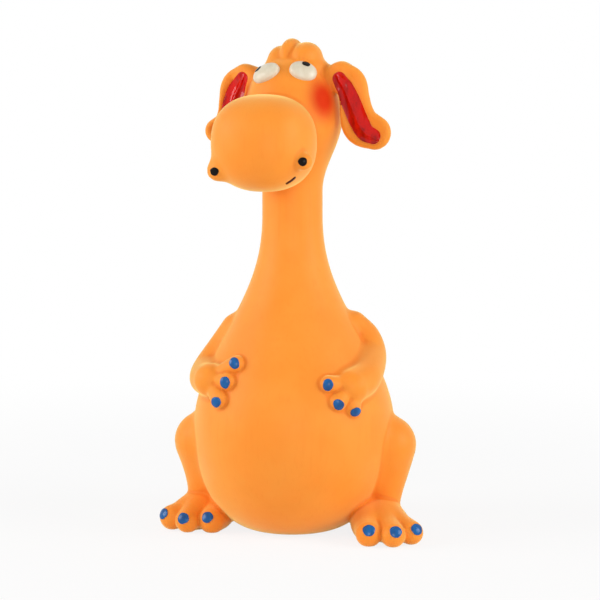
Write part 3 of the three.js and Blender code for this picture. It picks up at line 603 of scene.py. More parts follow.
# The four sides of each quad: all first sides, then all second ones, and so on
def quad_sides(quads):
    return np.vstack([quads[:, [i, (i + 1) % 4]] for i in range(4)])


def settled(points, normals):
    return points - normals * np.clip(figure_distance(points), -SETTLE_LIMIT, SETTLE_LIMIT)[:, None]


# Evens out the mesh along the surface and sets each vertex back onto it
def fettled(points, quads):
    pairs = quad_sides(quads)
    count = np.bincount(pairs[:, 0], minlength=len(points))
    for _ in range(FETTLE_ROUNDS):
        sums = [np.bincount(pairs[:, 0], points[pairs[:, 1], i], len(points)) for i in range(3)]
        drift = np.stack(sums, axis=1) / count[:, None] - points
        normals = facing(points)
        drift -= normals * (drift * normals).sum(axis=1, keepdims=True)
        points = settled(points + FETTLE_SHARE * drift, normals)
    return points


# Each face cut in four, for a piece with fine edges. The new places are set onto the surface, apart from
# those along the cut to the next piece.
def halved(points, faces):
    sides = np.sort(quad_sides(faces), axis=1)
    pairs, number, uses = np.unique(sides, axis=0, return_inverse=True, return_counts=True)
    added = np.vstack([points[pairs].mean(axis=1), points[faces].mean(axis=1)])
    free = np.concatenate([uses > 1, np.ones(len(faces), bool)])
    for _ in range(SETTLE_ROUNDS):
        added[free] = settled(added[free], facing(added[free]))
    half = len(points) + number.reshape(4, -1).T
    middle = len(points) + len(pairs) + np.arange(len(faces))
    quarters = [np.stack([faces[:, i], half[:, i], middle, half[:, i - 1]], axis=1) for i in range(4)]
    return np.vstack([points, added]), np.vstack(quarters)


# Room for the wall under each vertex, up to its full thickness
def wall_room(points, normals):
    room = np.full(len(points), WALL_LEAST)
    for depth in np.arange(2 * WALL_LEAST, 2 * WALL, PROBE_STEP):
        clear = figure_distance(points - normals * depth) < -PROBE_FREE * depth
        room = np.where(clear & (room >= depth / 2 - PROBE_LAP), depth / 2, room)
    return np.minimum(room, WALL)


# How far the surface is folded inward at each place, as in a crease between two fingers
def creases(points):
    steps = np.eye(3) * CREASE_STEP
    around = sum(figure_distance(points + step) + figure_distance(points - step) for step in steps)
    return np.clip(-around / CREASE_STEP**2, -CREASE_LIMIT, CREASE_LIMIT)


# The name of the piece that each face belongs to
def skin_labels(middles):
    without_ears = lumps_distance(middles, [lump for lump in clay if lump[3] is not ear_fillet])
    height = middles[:, 2]
    in_hole = np.hypot(middles[:, 0], middles[:, 1]) < HOLE_RADIUS + HOLE_MARGIN
    in_hole &= (height > HOLE_RIM) & (height < HOLE_DEPTH + HOLE_ROOF)
    names = np.full(len(middles), "trunk_skin", dtype="U16")
    in_front = middles @ PRESS_DIRECTION > PRESS_SEAM
    names[in_front & (height > PRESS_LOW) & (height < LEAN_TOP)] = "belly_skin"
    names[height > NECK_SEAM] = "head_skin"
    for side, ear in EARS.items():
        out = to_head(middles)[:, 0] * ear["sign"]
        on_side = (out > HEAD_RADIUS / 2) & (height > THROAT_HEIGHT)
        beyond = (out > EAR_SEAM) & (height > HEAD_HEIGHT + CROWN_RISE / 2)
        names[on_side & ((ear_distance(middles, ear) < without_ears) | beyond)] = f"ear_skin_{side}"
    names[in_hole] = "hole"
    return names


skin, quads = cast_surface(cast_depths())
skin = fettled(skin, quads)
labels = skin_labels(skin[quads].mean(axis=1))


# A mesh in the frame's metres from places in millimetres, which stay on it as the attribute "rest"
def made_piece(name, points, faces, normals=None, folds=None):
    mesh = bpy.data.meshes.new(name)
    mesh.from_pydata((points + AXIS) * MM, [], faces)
    mesh.update()
    mesh.polygons.foreach_set("use_smooth", np.ones(len(mesh.polygons), bool))
    rest = mesh.attributes.new("rest", "FLOAT_VECTOR", "POINT")
    rest.data.foreach_set("vector", np.asarray(points, np.float32).ravel())
    # The crease attribute is what darkens the latex in its folds as painted shade
    crease = mesh.attributes.new("crease", "FLOAT", "POINT")
    if folds is not None:
        crease.data.foreach_set("value", np.asarray(folds, np.float32))
    if normals is not None:
        mesh.normals_split_custom_set_from_vertices(normals)
    piece = bpy.data.objects.new(name, mesh)
    bpy.context.scene.collection.objects.link(piece)
    return piece


# One piece of the skin, closed with an inner face and a rim along its cut edges
def cut_skin(name, finer=False):
    used, faces = np.unique(quads[labels == name], return_inverse=True)
    faces = faces.reshape(-1, 4)
    outer = skin[used]
    if finer:
        outer, faces = halved(outer, faces)
    outward = facing(outer, NORMAL_STEP)
    inner = outer - outward * wall_room(outer, outward)[:, None]
    count = len(outer)
    edges = quad_sides(faces)
    cut = ~np.isin(edges[:, 0] * count + edges[:, 1], edges[:, 1] * count + edges[:, 0])
    first, second = edges[cut].T
    rim = np.stack([second, first, first + count, second + count], axis=1)
    normals = np.vstack([outward, -outward])
    folds = np.tile(creases(outer), 2)
    shell = np.vstack([faces, faces[:, ::-1] + count, rim])
    return made_piece(name, np.vstack([outer, inner]), shell.tolist(), normals, folds)


# A socket of a node tree that takes part in Python arithmetic
class Shade:
    def __init__(self, tree, socket=None):
        self.tree = tree
        self.socket = socket

    def node(self, kind, settings=None, sockets=None, out=0):
        made = self.tree.nodes.new(kind)
        for name, value in (settings or {}).items():
            setattr(made, name, value)
        for name, value in (sockets or {}).items():
            self.feed(made, name, value)
        return Shade(self.tree, made.outputs[out])

    def feed(self, made, name, value):
        if isinstance(value, Shade):
            self.tree.links.new(value.socket, made.inputs[name])
        else:
            made.inputs[name].default_value = value

    def maths(self, operation, first, second):
        return self.node("ShaderNodeMath", {"operation": operation}, {0: first, 1: second})

    def clamped(self, low, high):
        sockets = {"Value": self, "From Min": low, "From Max": high}
        return self.node("ShaderNodeMapRange", {"interpolation_type": "SMOOTHSTEP"}, sockets)

    def mixed(self, first, second):
        sockets = {0: self, 6: first, 7: second}
        return self.node("ShaderNodeMix", {"data_type": "RGBA"}, sockets, 2)

    def __add__(self, other):
        return self.maths("ADD", self, other)

    def __radd__(self, other):
        return self.maths("ADD", other, self)

    def __sub__(self, other):
        return self.maths("SUBTRACT", self, other)

    def __rsub__(self, other):
        return self.maths("SUBTRACT", other, self)

    def __mul__(self, other):
        return self.maths("MULTIPLY", self, other)

    def __rmul__(self, other):
        return self.maths("MULTIPLY", other, self)


def new_finish(name, constants):
    material = bpy.data.materials.new(name)
    material.use_nodes = True
    shader = material.node_tree.nodes["Principled BSDF"]
    for socket, value in constants.items():
        shader.inputs[socket].default_value = value
    return material, shader, Shade(material.node_tree)


def attribute(shade, name, out):
    return shade.node("ShaderNodeAttribute", {"attribute_name": name}, {}, out)


def noise(shade, place, scale, detail=2.0, roughness=0.5):
    sockets = {"Vector": place, "Scale": scale, "Detail": detail, "Roughness": roughness}
    return shade.node("ShaderNodeTexNoise", {}, sockets)


def stretched(shade, place, factors):
    return shade.node("ShaderNodeVectorMath", {"operation": "MULTIPLY"}, {0: place, 1: factors})


def apart(shade, place, point):
    return shade.node("ShaderNodeVectorMath", {"operation": "DISTANCE"}, {0: place, 1: tuple(point)}, 1)


def bumped(shade, height, constants):
    return shade.node("ShaderNodeBump", {}, {**constants, "Height": height})


LATEX_ORANGE = (0.92, 0.280, 0.026, 1)
LATEX_PALE = (0.93, 0.305, 0.034, 1)
# The darker orange below serves both the painted shade in the creases and the random streaks in the latex
LATEX_SHADE_AND_STREAK = (0.82, 0.185, 0.012, 1)
LATEX_CONSTANTS = {
    "Subsurface Weight": 0.12,
    "Subsurface Radius": (1, 0.35, 0.1),
    "Subsurface Scale": 0.003,
    "Specular IOR Level": 0.2,
    "Sheen Weight": 1.0,
    "Sheen Roughness": 0.4,
    "Sheen Tint": (1, 0.84, 0.30, 1),
}
CLOUD_SCALE = 0.06
CLOUD_SPREAD = (0.3, 0.7)
CLOUD_ROUGHNESS = 0.12
STREAK_STRETCH = (0.9, 0.9, 0.04)
STREAK_SPREAD = (0.5, 0.8)
STREAK_DEPTH = 0.16
STREAK_RELIEF = 0.3
PORE_SCALE = 2.2
PORE_ROUGHNESS = 0.06
PORE_RELIEF = 0.7
# Painted shade in the creases: how strongly an inward fold darkens the latex
CREASE_SHADE_SPREAD = (0.08, 0.42)
CREASE_SHADE_DEPTH = 0.65
LATEX_ROUGHNESS = 0.42
LATEX_BUMP = {"Strength": 0.12, "Distance": 0.0004}
BLUSH_RED = (0.66, 0.036, 0.004, 1)
BLUSH_PLACE = np.array([15.9, -7.1, 156.8])
BLUSH_REACH = (2, 10)
BLUSH_RAGGED = 1.2
BLUSH_STRETCH = np.array([1.08, 1.08, 0.88])
BLUSH_CONSTANTS = {"Base Color": BLUSH_RED, "Roughness": 0.6, "Specular IOR Level": 0.05}


# Cloudy orange latex, streaked, with painted shade in its creases and a red blush dusted onto both cheeks
def latex_finish():
    material, shader, shade = new_finish("latex_skin", LATEX_CONSTANTS)
    rest = attribute(shade, "rest", 1)
    crease_shade = attribute(shade, "crease", 2)
    cloud = noise(shade, rest, CLOUD_SCALE)
    streak = noise(shade, stretched(shade, rest, STREAK_STRETCH), 1.0, detail=3.0)
    pores = noise(shade, rest, PORE_SCALE, detail=3.0)
    skin_colour = cloud.clamped(*CLOUD_SPREAD).mixed(LATEX_ORANGE, LATEX_PALE)
    # Painted shade: the colour darkens where the surface folds inward, as shade falls there, besides the
    # random streaks
    depth = crease_shade.clamped(*CREASE_SHADE_SPREAD) * CREASE_SHADE_DEPTH + streak.clamped(*STREAK_SPREAD) * STREAK_DEPTH
    shade.feed(shader, "Base Color", depth.mixed(skin_colour, LATEX_SHADE_AND_STREAK))
    shade.feed(shader, "Roughness", LATEX_ROUGHNESS + CLOUD_ROUGHNESS * cloud + PORE_ROUGHNESS * pores)
    bump = bumped(shade, pores * PORE_RELIEF + streak * STREAK_RELIEF, LATEX_BUMP)
    shade.feed(shader, "Normal", bump)
    taller = stretched(shade, rest, BLUSH_STRETCH)
    cheeks = []
    for sign in (-1, 1):
        spot = apart(shade, taller, from_head(BLUSH_PLACE * [sign, 1, 1]) * BLUSH_STRETCH)
        dusted = spot + BLUSH_RAGGED * (cloud - 0.5)
        cheeks.append(dusted.clamped(*BLUSH_REACH))
    blush = shade.node("ShaderNodeBsdfPrincipled", {}, {**BLUSH_CONSTANTS, "Normal": bump})
    cover = {0: cheeks[1] * cheeks[0], 1: blush, 2: Shade(shade.tree, shader.outputs[0])}
    covered = shade.node("ShaderNodeMixShader", {}, cover)
    shade.feed(shade.tree.nodes["Material Output"], "Surface", covered)
    return material


# A piece given its finish, in place of the CAD nodes that it covers, which are hidden
def dressed(piece, finish, slot, *nodes):
    piece.data.materials.append(finish)
    if nodes:
        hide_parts(*nodes)
    return piece


def in_frame(point):
    return tuple((np.asarray(point) + AXIS) * MM)


UPWARD = np.array([0, 0, 1])


def hang_ear(piece):
    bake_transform(piece)


latex = latex_finish()
trunk = cut_skin("trunk_skin")
dressed(trunk, latex, "latex_orange", "body_shell", "arm_left", "arm_right", "leg_left", "leg_right")
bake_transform(trunk)

belly = cut_skin("belly_skin")
dressed(belly, latex, "latex_orange", "belly_panel")
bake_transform(belly)

head = cut_skin("head_skin")
dressed(head, latex, "latex_orange", "neck", "head", "muzzle", "hair_tuft")
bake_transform(head)

for side, ear in EARS.items():
    flap = cut_skin(f"ear_skin_{side}", finer=True)
    dressed(flap, latex, "latex_orange", f"ear_{side}")
    hang_ear(flap)


# Ear linings
# The dished inside of each ear is painted by hand in a thick glossy dark red that stops at the rolled
# rim. A soft ridge runs down the paint, a little to one side of its middle.
LINING_OVERLAP = 0.35
LINING_EDGE = 0.3
LINING_LIFT = 5
LINING_TIP = 0.3
LINING_COLUMNS = np.array([
    -1, -0.98, -0.95, -0.91, -0.85, -0.75, -0.6, -0.45, -0.3, -0.2, -0.1,
    0, 0.12, 0.25, 0.4, 0.55, 0.7, 0.82, 0.9, 0.95, 0.98, 1,
])
CAP_STEPS = 5
LINING_RIDGE = 0.9
RIDGE_PLACE = -0.1
RIDGE_HALF = 0.22
LINING_RED = (0.66, 0.004, 0.001, 1)
LINING_DARK = (0.36, 0.003, 0.002, 1)
PAINT_RISE = 0.22
PAINT_EDGE = 0.12
PAINT_DEPTH = 0.5
PAINT_STEEPNESS = 20
LANDING_ROUNDS = 40
LANDING_SHARE = 0.7
LANDING_LIMIT = 0.5
BRUSH_STRETCH = (1, 1, 0.35)
BRUSH_SPREAD = (0.35, 0.75)
BRUSH_ROUGHNESS = 0.15
BRUSH_RELIEF = 0.6
POOL_SCALE = 0.3
POOL_RELIEF = 0.4
PAINT_BUMP = {"Strength": 0.25, "Distance": 0.0003}
CLEAR_ROUGHNESS = 0.05


# Places above the skin brought down onto it, against the outward directions
def landed(places, directions, depth):
    for _ in range(LANDING_ROUNDS):
        fall = np.clip(LANDING_SHARE * depth(places), -LANDING_LIMIT, LANDING_LIMIT)
        places = places - directions * fall[:, None]
    return places


# A coat of paint: share is 0 in the middle of the patch and 1 along its edge, which is sunk in the skin
def painted(name, places, directions, share, faces, rise, depth=figure_distance, edge=PAINT_EDGE):
    directions = np.broadcast_to(directions, places.shape)
    on_skin = landed(places, directions, depth)
    normals = facing(on_skin, depth=depth)
    height = (rise + edge) * (1 - share**PAINT_STEEPNESS) - edge
    top = on_skin + normals * height[:, None]
    middle = np.flatnonzero(share < 1)
    below = np.arange(len(places))
    below[middle] = len(places) + np.arange(len(middle))
    points = np.vstack([top, on_skin[middle] - normals[middle] * PAINT_DEPTH])
    back = [[int(below[corner]) for corner in face[::-1]] for face in faces]
    return made_piece(name, points, faces + back)


# Brushed paint: thin and thick strokes of one colour, under a little clear gloss
def gloss_finish(name, colour, dark, roughness, scale, shine=0.35, coat=0.12):
    constants = {"Specular IOR Level": shine, "Coat Roughness": CLEAR_ROUGHNESS, "Coat Weight": coat}
    material, shader, shade = new_finish(name, constants)
    rest = attribute(shade, "rest", 1)
    brush = noise(shade, stretched(shade, rest, BRUSH_STRETCH), scale, detail=3.0)
    pool = noise(shade, rest, scale * POOL_SCALE, detail=1.0)
    shade.feed(shader, "Base Color", brush.clamped(*BRUSH_SPREAD).mixed(colour, dark))
    shade.feed(shader, "Roughness", roughness + BRUSH_ROUGHNESS * brush)
    shade.feed(shader, "Normal", bumped(shade, brush * BRUSH_RELIEF + pool * POOL_RELIEF, PAINT_BUMP))
    return material


# Rows of a long patch along a chain of [side, height, half width], with round ends
def lining_rows(chain):
    rows = []
    ends = {0: -1, len(chain) - 1: 1}
    for i, (side, height, wide) in enumerate(chain):
        tangent = unit(chain[min(i + 1, len(chain) - 1), :2] - chain[max(i - 1, 0), :2])
        angles = [0.0]
        if i in ends:
            cap = (np.arange(1, CAP_STEPS) / CAP_STEPS * math.pi / 2).tolist()
            angles = [-angle for angle in cap[::-1]] + [0.0] if ends[i] < 0 else [0.0] + cap
        for angle in angles:
            centre = np.array([side, height]) + tangent * wide * math.sin(angle)
            rows.append((centre, tangent, wide * math.cos(angle), abs(math.sin(angle))))
    return rows


def strip_faces(rows, width):
    starts = [i * width + j for i in range(rows - 1) for j in range(width - 1)]
    return [[k, k + 1, k + width + 1, k + width] for k in starts]


def add_lining(side, ear):
    rows = lining_rows(ear["lining_chain"] + [0, 0, LINING_OVERLAP])
    flat, share, rise = [], [], []
    for centre, tangent, wide, end in rows:
        across = np.array([-tangent[1], tangent[0]])
        for column in LINING_COLUMNS:
            flat.append(centre + across * wide * column)
            share.append(max(abs(column), end))
            ridge = math.exp(-(((column - RIDGE_PLACE) / RIDGE_HALF) ** 2)) * (1 - end)
            rise.append(PAINT_RISE + LINING_RIDGE * ridge)
    for (centre, tangent, wide, _), way in ((rows[0], -LINING_TIP), (rows[-1], LINING_TIP)):
        flat.append(centre + tangent * wide * way)
        share.append(1)
        rise.append(PAINT_RISE)
    width = len(LINING_COLUMNS)
    faces = strip_faces(len(rows), width)
    tip = len(rows) * width
    for j in range(width - 1):
        faces.append([tip, j + 1, j])
        faces.append([tip + 1, tip - width + j, tip - width + j + 1])
    if ear["sign"] > 0:
        faces = [face[::-1] for face in faces]
    flat = np.array(flat)
    before = np.full(len(flat), EAR_ROOT[1] - LINING_LIFT)
    places = from_head(np.stack([ear["sign"] * flat[:, 0], before, flat[:, 1]], axis=1))
    share, rise = np.array(share, float), np.array(rise)
    front = from_head(np.array([0, -1, 0]))
    lining = painted(f"ear_paint_{side}", places, front, share, faces, rise, edge=LINING_EDGE)
    dressed(lining, lining_red, "lining_red", f"ear_lining_{side}")
    hang_ear(lining)


lining_red = gloss_finish("lining_red", LINING_RED, LINING_DARK, 0.16, 0.5, shine=0.05, coat=0.4)
for side, ear in EARS.items():
    add_lining(side, ear)


# Eyes, pupils and nostrils
# Each eye is a low oval dome moulded high on the face and painted white, with a black enamel pupil near
# its upper edge, so that the animal looks up. The pair is set a little to the left of the muzzle's line.
# The nostrils are dabs of the same enamel on the muzzle's swellings.
EYES = {
    "left": {
        "turn": math.radians(43.5), "height": 166.6, "slant": math.radians(15),
        "halves": np.array([5, 4.1, 2.3]), "pupil": (0.4, 1.7),
    },
    "right": {
        "turn": math.radians(-20), "height": 166, "slant": math.radians(-22),
        "halves": np.array([5.5, 4, 2.3]), "pupil": (-2.6, 1.7),
    },
}
EYE_SINK = 1.7
EYE_RINGS = 10
EYE_SPOKES = 48
EYE_WHITE = (0.72, 0.66, 0.52, 1)
EYE_SHADE = (0.66, 0.58, 0.43, 1)
ENAMEL_BLACK = (0.004, 0.003, 0.003, 1)
ENAMEL_SOFT = (0.010, 0.008, 0.006, 1)
ENAMEL_RISE = 0.2
PUPIL_HALVES = np.array([1.5, 1.3])
NOSTRIL_HALVES = np.array([1.55, 1.45])
NOSTRIL_LIFT = 0.5
DAB_RINGS = 8
DAB_SPOKES = 36
DAB_LIFT = 4
DAB_WOBBLE = 0.03
DAB_RIPPLE = 0.02


# The eye's place, and its sideways, upward and outward directions, in the head's frame
def eye_frame(eye):
    radius = float(head_radius(np.array(eye["height"])))
    place = np.array([radius * math.sin(eye["turn"]), -radius * math.cos(eye["turn"]), eye["height"]])
    steepness = (eye["height"] - HEAD_HEIGHT) * (HEAD_RADIUS / CROWN_RISE) ** 2
    outward = unit(np.array([place[0], place[1], steepness]))
    level = unit(np.cross([0, 0, 1], outward))
    upward = np.cross(outward, level)
    side = level * math.cos(eye["slant"]) - upward * math.sin(eye["slant"])
    rise = level * math.sin(eye["slant"]) + upward * math.cos(eye["slant"])
    return place, np.stack([side, rise, outward])


# Faces of a round patch: a fan about vertex 0, then rings of quads
def ring_faces(rings, spokes):
    faces = []
    for j in range(spokes):
        after = (j + 1) % spokes
        faces.append([0, 1 + j, 1 + after])
        for ring in range(rings - 1):
            low = 1 + ring * spokes
            high = low + spokes
            faces.append([low + j, high + j, high + after, low + after])
    return faces


# A dome on an oval foot that is sunk straight into the skin
def eye_dome(name, centre, directions, halves):
    turns = np.arange(EYE_SPOKES) * 2 * math.pi / EYE_SPOKES
    round_oval = np.stack([np.cos(turns), np.sin(turns), 0 * turns], axis=1)
    places = [[[0, 0, halves[2]]]]
    for ring in range(1, EYE_RINGS + 1):
        angle = ring / EYE_RINGS * math.pi / 2
        places.append((round_oval * math.sin(angle) + [0, 0, math.cos(angle)]) * halves)
    places.append(round_oval * halves - [0, 0, EYE_SINK])
    places.append([[0, 0, -EYE_SINK]])
    faces = ring_faces(EYE_RINGS + 1, EYE_SPOKES)
    last = 1 + (EYE_RINGS + 1) * EYE_SPOKES
    foot = last - EYE_SPOKES
    for j in range(EYE_SPOKES):
        faces.append([last, foot + (j + 1) % EYE_SPOKES, foot + j])
    return made_piece(name, centre + np.vstack(places) @ directions, faces)


# A round dab of paint about a centre, with its sideways, upward and outward directions. Its edge wobbles
# a little, in another way for each name.
def dab(name, centre, directions, halves, rise, depth=figure_distance, lift=DAB_LIFT):
    side, upward, out = directions
    turns = np.arange(DAB_SPOKES) * 2 * math.pi / DAB_SPOKES
    wobble = 1 + DAB_WOBBLE * np.sin(3 * turns + len(name))
    wobble += DAB_RIPPLE * np.sin(5 * turns + 2 * len(name))
    places, share = [centre + out * lift], [0]
    for ring in range(1, DAB_RINGS + 1):
        reach = math.sin(ring / DAB_RINGS * math.pi / 2)
        for turn, stretch in zip(turns, wobble):
            flat = side * math.cos(turn) * halves[0] + upward * math.sin(turn) * halves[1]
            places.append(centre + flat * reach * stretch + out * lift)
            share.append(ring / DAB_RINGS)
    faces = ring_faces(DAB_RINGS, DAB_SPOKES)
    return painted(name, np.array(places), out, np.array(share, float), faces, rise, depth)


def add_eye(side, eye):
    place, directions = eye_frame(eye)
    directions = from_head(directions)
    centre = from_head(place)
    white = eye_dome(f"eye_paint_{side}", centre, directions, eye["halves"])
    dressed(white, eye_white, "eye_white", f"eye_{side}")
    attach(white, "head")

    def dome_distance(points):
        return egg_distance((points - centre) @ directions.T, eye["halves"])
    looking = centre + directions[0] * eye["pupil"][0] + directions[1] * eye["pupil"][1]
    pupil = dab(f"pupil_paint_{side}", looking, directions, PUPIL_HALVES, ENAMEL_RISE, dome_distance)
    dressed(pupil, enamel_black, "gloss_black", f"pupil_{side}")
    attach(pupil, "head")


def add_nostril(side, nostril):
    turn = nostril["facing"]
    out = [math.sin(turn), -math.cos(turn), 0]
    directions = from_head(np.array([[math.cos(turn), math.sin(turn), 0], [0, 0, 1], out]))
    spot = from_head(nostril["place"]) + directions[2] * nostril["swell"]
    name = f"nostril_paint_{side}"
    paint = dab(name, spot, directions, NOSTRIL_HALVES, ENAMEL_RISE, lift=NOSTRIL_LIFT)
    dressed(paint, enamel_black, "gloss_black", f"nostril_{side}")
    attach(paint, "head")


eye_white = gloss_finish("eye_white", EYE_WHITE, EYE_SHADE, 0.25, 0.35)
enamel_black = gloss_finish("enamel_black", ENAMEL_BLACK, ENAMEL_SOFT, 0.1, 0.6, shine=0.05)
for side, eye in EYES.items():
    add_eye(side, eye)
for side, nostril in NOSTRILS.items():
    add_nostril(side, nostril)


# Nails
# Each finger and toe ends in a round nail, a thick dab of shiny blue paint put on with a brush. It sits
# where the tip turns from the front to the top.
NAIL_BLUE = (0.004, 0.112, 0.365, 1)
NAIL_DARK = (0.010, 0.060, 0.200, 1)
NAIL_RISE = 0.35
FINGER_NAIL = np.array([2.0, 1.7])
TOE_NAIL = np.array([2.1, 2.0])
FINGER_LIFT = math.radians(62)
TOE_LIFT = math.radians(33)
FINGER_NAMES = ("upper", "middle", "lower")
nail_blue = gloss_finish("nail_blue", NAIL_BLUE, NAIL_DARK, 0.14, 0.5, shine=0.2)


def add_nail(name, root, tip, away, lift, radius, halves):
    along = unit(tip - root)
    out = unit(along * math.cos(lift) + away * math.sin(lift))
    side = unit(np.cross(away, along))
    directions = np.stack([side, np.cross(out, side), out])
    nail = dab(f"{name}_paint", tip + out * radius, directions, halves, NAIL_RISE)
    dressed(nail, nail_blue, "nail_blue", name)
    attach(nail, "body")


for side, arm in ARMS.items():
    height, angle, off = arm["joints"][-1]
    palm = body_point(height, arm["sign"] * angle, off)
    for finger, tip in zip(FINGER_NAMES, finger_tips(arm)):
        name = f"finger_nail_{side}_{finger}"
        away = tip * [1, 1, 0] / np.linalg.norm(tip[:2])
        add_nail(name, palm, tip, away, FINGER_LIFT, FINGER_RADIUS, FINGER_NAIL)
for side, leg in LEGS.items():
    for toe, stations in leg["toes"].items():
        name = f"toe_nail_{side}_{toe}"
        root, tip = on_leg(leg, stations)[-2:]
        add_nail(name, root[:3], tip[:3], UPWARD, TOE_LIFT, tip[3], TOE_NAIL)


# Mouth
# A short line of dark red-brown paint, drawn with a fine brush, turns up at the left corner of the muzzle
# as a small smile. Nothing is cut into the latex there.
MOUTH_BROWN = (0.07, 0.010, 0.004, 1)
MOUTH_DARK = (0.035, 0.005, 0.002, 1)
MOUTH_PATH = [(10.6, -27.9, 126.7), (12.5, -27.1, 127.9), (14.3, -26.6, 129.6)]
MOUTH_STEPS = 4
MOUTH_COLUMNS = np.linspace(-1, 1, 5)
MOUTH_HALF = 1.2
MOUTH_TIP = 0.04
MOUTH_LIFT = 3
MOUTH_RISE = 0.15
mouth_brown = gloss_finish("mouth_brown", MOUTH_BROWN, MOUTH_DARK, 0.3, 0.8, shine=0.1, coat=0)


def add_mouth():
    path = flowing(np.array(MOUTH_PATH), MOUTH_STEPS)
    places, share, directions = [], [], []
    for i, place in enumerate(path):
        out = unit(place - MUZZLE_PLACE)
        across = np.cross(out, unit(path[min(i + 1, len(path) - 1)] - path[max(i - 1, 0)]))
        end = abs(2 * i / (len(path) - 1) - 1)
        wide = MOUTH_HALF * math.sqrt(max(1 - end**4, MOUTH_TIP))
        for column in MOUTH_COLUMNS:
            places.append(place + across * wide * column + out * MOUTH_LIFT)
            share.append(max(abs(column), 1.0 if end == 1 else 0.5 * end))
            directions.append(out)
    faces = [[a, d, c, b] for a, b, c, d in strip_faces(len(path), len(MOUTH_COLUMNS))]
    places = from_head(np.array(places))
    directions = from_head(np.array(directions))
    mouth = painted("mouth_paint", places, directions, np.array(share), faces, MOUTH_RISE)
    dressed(mouth, mouth_brown, "gloss_black")
    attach(mouth, "head")


add_mouth()


# Squeaker
# A small cup of milky plastic grips the hole in the base between two lips. A slotted plate closes it,
# and a thin film reed, held by a clamp at its root, buzzes over the slot.
PLASTIC_MILK = (0.74, 0.76, 0.74, 1)
PLASTIC_CLOUD = (0.62, 0.65, 0.64, 1)
REED_CREAM = (0.81, 0.74, 0.55, 1)
REED_TAN = (0.66, 0.56, 0.36, 1)
PLASTIC_SHINE = 0.5
FLOW_SCALE = 220.0
FLOW_SPREAD = (0.35, 0.7)
SCUFF_SCALE = 1800.0
SCUFF_ROUGHNESS = 0.15
SCUFF_BUMP = {"Strength": 0.1, "Distance": 0.0002}


def plastic_finish(name, colour, cloudy, roughness):
    material, shader, shade = new_finish(name, {"Specular IOR Level": PLASTIC_SHINE})
    place = shade.node("ShaderNodeTexCoord", {}, {}, "Object")
    flow = noise(shade, place, FLOW_SCALE)
    scuffs = noise(shade, place, SCUFF_SCALE, detail=3.0)
    shade.feed(shader, "Base Color", flow.clamped(*FLOW_SPREAD).mixed(colour, cloudy))
    shade.feed(shader, "Roughness", roughness + SCUFF_ROUGHNESS * scuffs)
    shade.feed(shader, "Normal", bumped(shade, scuffs, SCUFF_BUMP))
    return material


milky_plastic = plastic_finish("milky_plastic", PLASTIC_MILK, PLASTIC_CLOUD, 0.3)
reed_film = plastic_finish("reed_film", REED_CREAM, REED_TAN, 0.2)
for node, finish in (
    ("squeaker_cup", milky_plastic),
    ("reed_plate", milky_plastic),
    ("reed_clamp", milky_plastic),
    ("squeaker_reed", reed_film),
):
    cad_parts[node].data.materials.clear()
    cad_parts[node].data.materials.append(finish)


# Floor and light
# A white sweep under large soft lamps, as a small product is photographed: the floor shows as white to
# the camera but keeps part of the shadow.
FLOOR_HALF = 3.0
FLOOR_WHITE = (0.9, 0.9, 0.9, 1)
FLOOR_GLOW = 0.85
FLOOR_FADE = (0.10, 0.45)
WHITE = (1, 1, 1, 1)
SKY_LEVEL = 0.45
LAMP_TARGET = (0, 0, 0.09)
LAMPS = {
    "key_lamp": {"place": (-0.90, -0.30, 0.45), "size": 0.6, "watts": 5.2},
    "fill_lamp": {"place": (0.92, -0.22, 0.40), "size": 0.6, "watts": 5.0},
    "front_lamp": {"place": (0.15, -0.90, 0.20), "size": 0.4, "watts": 1.9},
}


# 1 for rays that come from the camera, or from it by way of a mirror or glass
def seen_rays(shade):
    camera, glossy, through = (
        shade.node("ShaderNodeLightPath", {}, {}, name)
        for name in ("Is Camera Ray", "Is Glossy Ray", "Is Transmission Ray")
    )
    return shade.maths("MAXIMUM", shade.maths("MAXIMUM", camera, glossy), through)


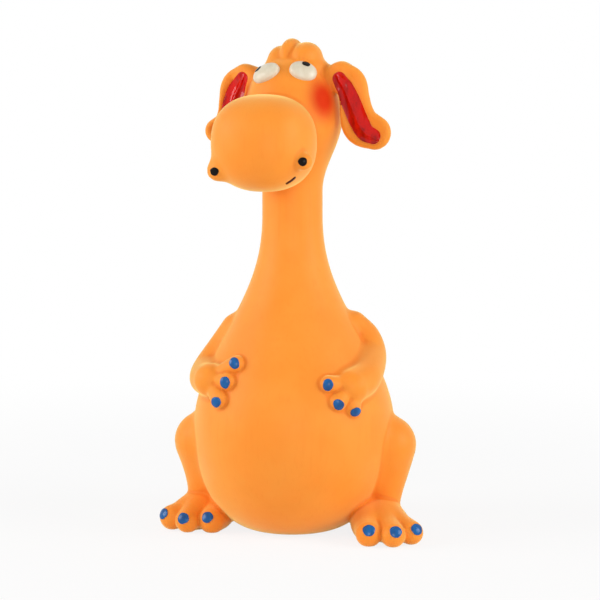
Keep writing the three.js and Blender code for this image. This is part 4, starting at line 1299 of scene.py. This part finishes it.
def add_floor():
    corners = [(-FLOOR_HALF, -FLOOR_HALF, 0), (FLOOR_HALF, -FLOOR_HALF, 0)]
    corners += [(FLOOR_HALF, FLOOR_HALF, 0), (-FLOOR_HALF, FLOOR_HALF, 0)]
    mesh = bpy.data.meshes.new("floor")
    mesh.from_pydata(corners, [], [(0, 1, 2, 3)])
    floor = bpy.data.objects.new("floor", mesh)
    bpy.context.scene.collection.objects.link(floor)
    material = bpy.data.materials.new("white_paper")
    material.use_nodes = True
    tree = material.node_tree
    tree.nodes.remove(tree.nodes["Principled BSDF"])
    shade = Shade(tree)
    paper = shade.node("ShaderNodeBsdfDiffuse", {}, {"Color": FLOOR_WHITE})
    glow = shade.node("ShaderNodeEmission", {}, {"Color": WHITE, "Strength": 1.0})
    place = shade.node("ShaderNodeTexCoord", {}, {}, "Object")
    distance = shade.node("ShaderNodeVectorMath", {"operation": "LENGTH"}, {0: place}, 1)
    seen = seen_rays(shade) * (FLOOR_GLOW + (1 - FLOOR_GLOW) * distance.clamped(*FLOOR_FADE))
    mix = shade.node("ShaderNodeMixShader", {}, {0: seen, 1: paper, 2: glow})
    shade.feed(tree.nodes["Material Output"], "Surface", mix)
    mesh.materials.append(material)


def add_lamp(name, place, size, watts):
    lamp = bpy.data.lights.new(name, "AREA")
    lamp.shape = "DISK"
    lamp.size = size
    lamp.energy = watts
    holder = bpy.data.objects.new(name, lamp)
    holder.location = place
    holder.rotation_euler = (Vector(LAMP_TARGET) - Vector(place)).to_track_quat("-Z", "Y").to_euler()
    bpy.context.scene.collection.objects.link(holder)


add_floor()
world = bpy.data.worlds.new("studio")
bpy.context.scene.world = world
world.use_nodes = True
sky = Shade(world.node_tree)
background = world.node_tree.nodes["Background"]
sky.feed(background, "Color", WHITE)
sky.feed(background, "Strength", SKY_LEVEL + (1 - SKY_LEVEL) * seen_rays(sky))
for name, lamp in LAMPS.items():
    add_lamp(name, **lamp)


# Camera
# It looks at the middle of the figure from a little to its left and a little above, about 0.6 m away,
# through a long lens.
CAMERA_TURN = math.radians(8)
CAMERA_RISE = math.radians(5)
CAMERA_REACH = 600
CAMERA_LENS = 98.28
CAMERA_SENSOR = 36
CAMERA_NEAREST = 0.01
CAMERA_SHIFT = 2.75
CAMERA_HEIGHT = 84
aim = np.array([math.cos(CAMERA_TURN), math.sin(CAMERA_TURN), 0]) * CAMERA_SHIFT + [0, 0, CAMERA_HEIGHT]
level = math.cos(CAMERA_RISE)
toward = np.array([math.sin(CAMERA_TURN) * level, -math.cos(CAMERA_TURN) * level, math.sin(CAMERA_RISE)])
lens = bpy.data.cameras.new("camera")
lens.lens = CAMERA_LENS
lens.sensor_width = CAMERA_SENSOR
lens.clip_start = CAMERA_NEAREST
camera = bpy.data.objects.new("camera", lens)
camera.location = in_frame(aim + toward * CAMERA_REACH)
camera.rotation_euler = Vector(-toward).to_track_quat("-Z", "Y").to_euler()
bpy.context.scene.collection.objects.link(camera)
bpy.context.scene.camera = camera
bpy.context.scene.view_settings.view_transform = "Standard"
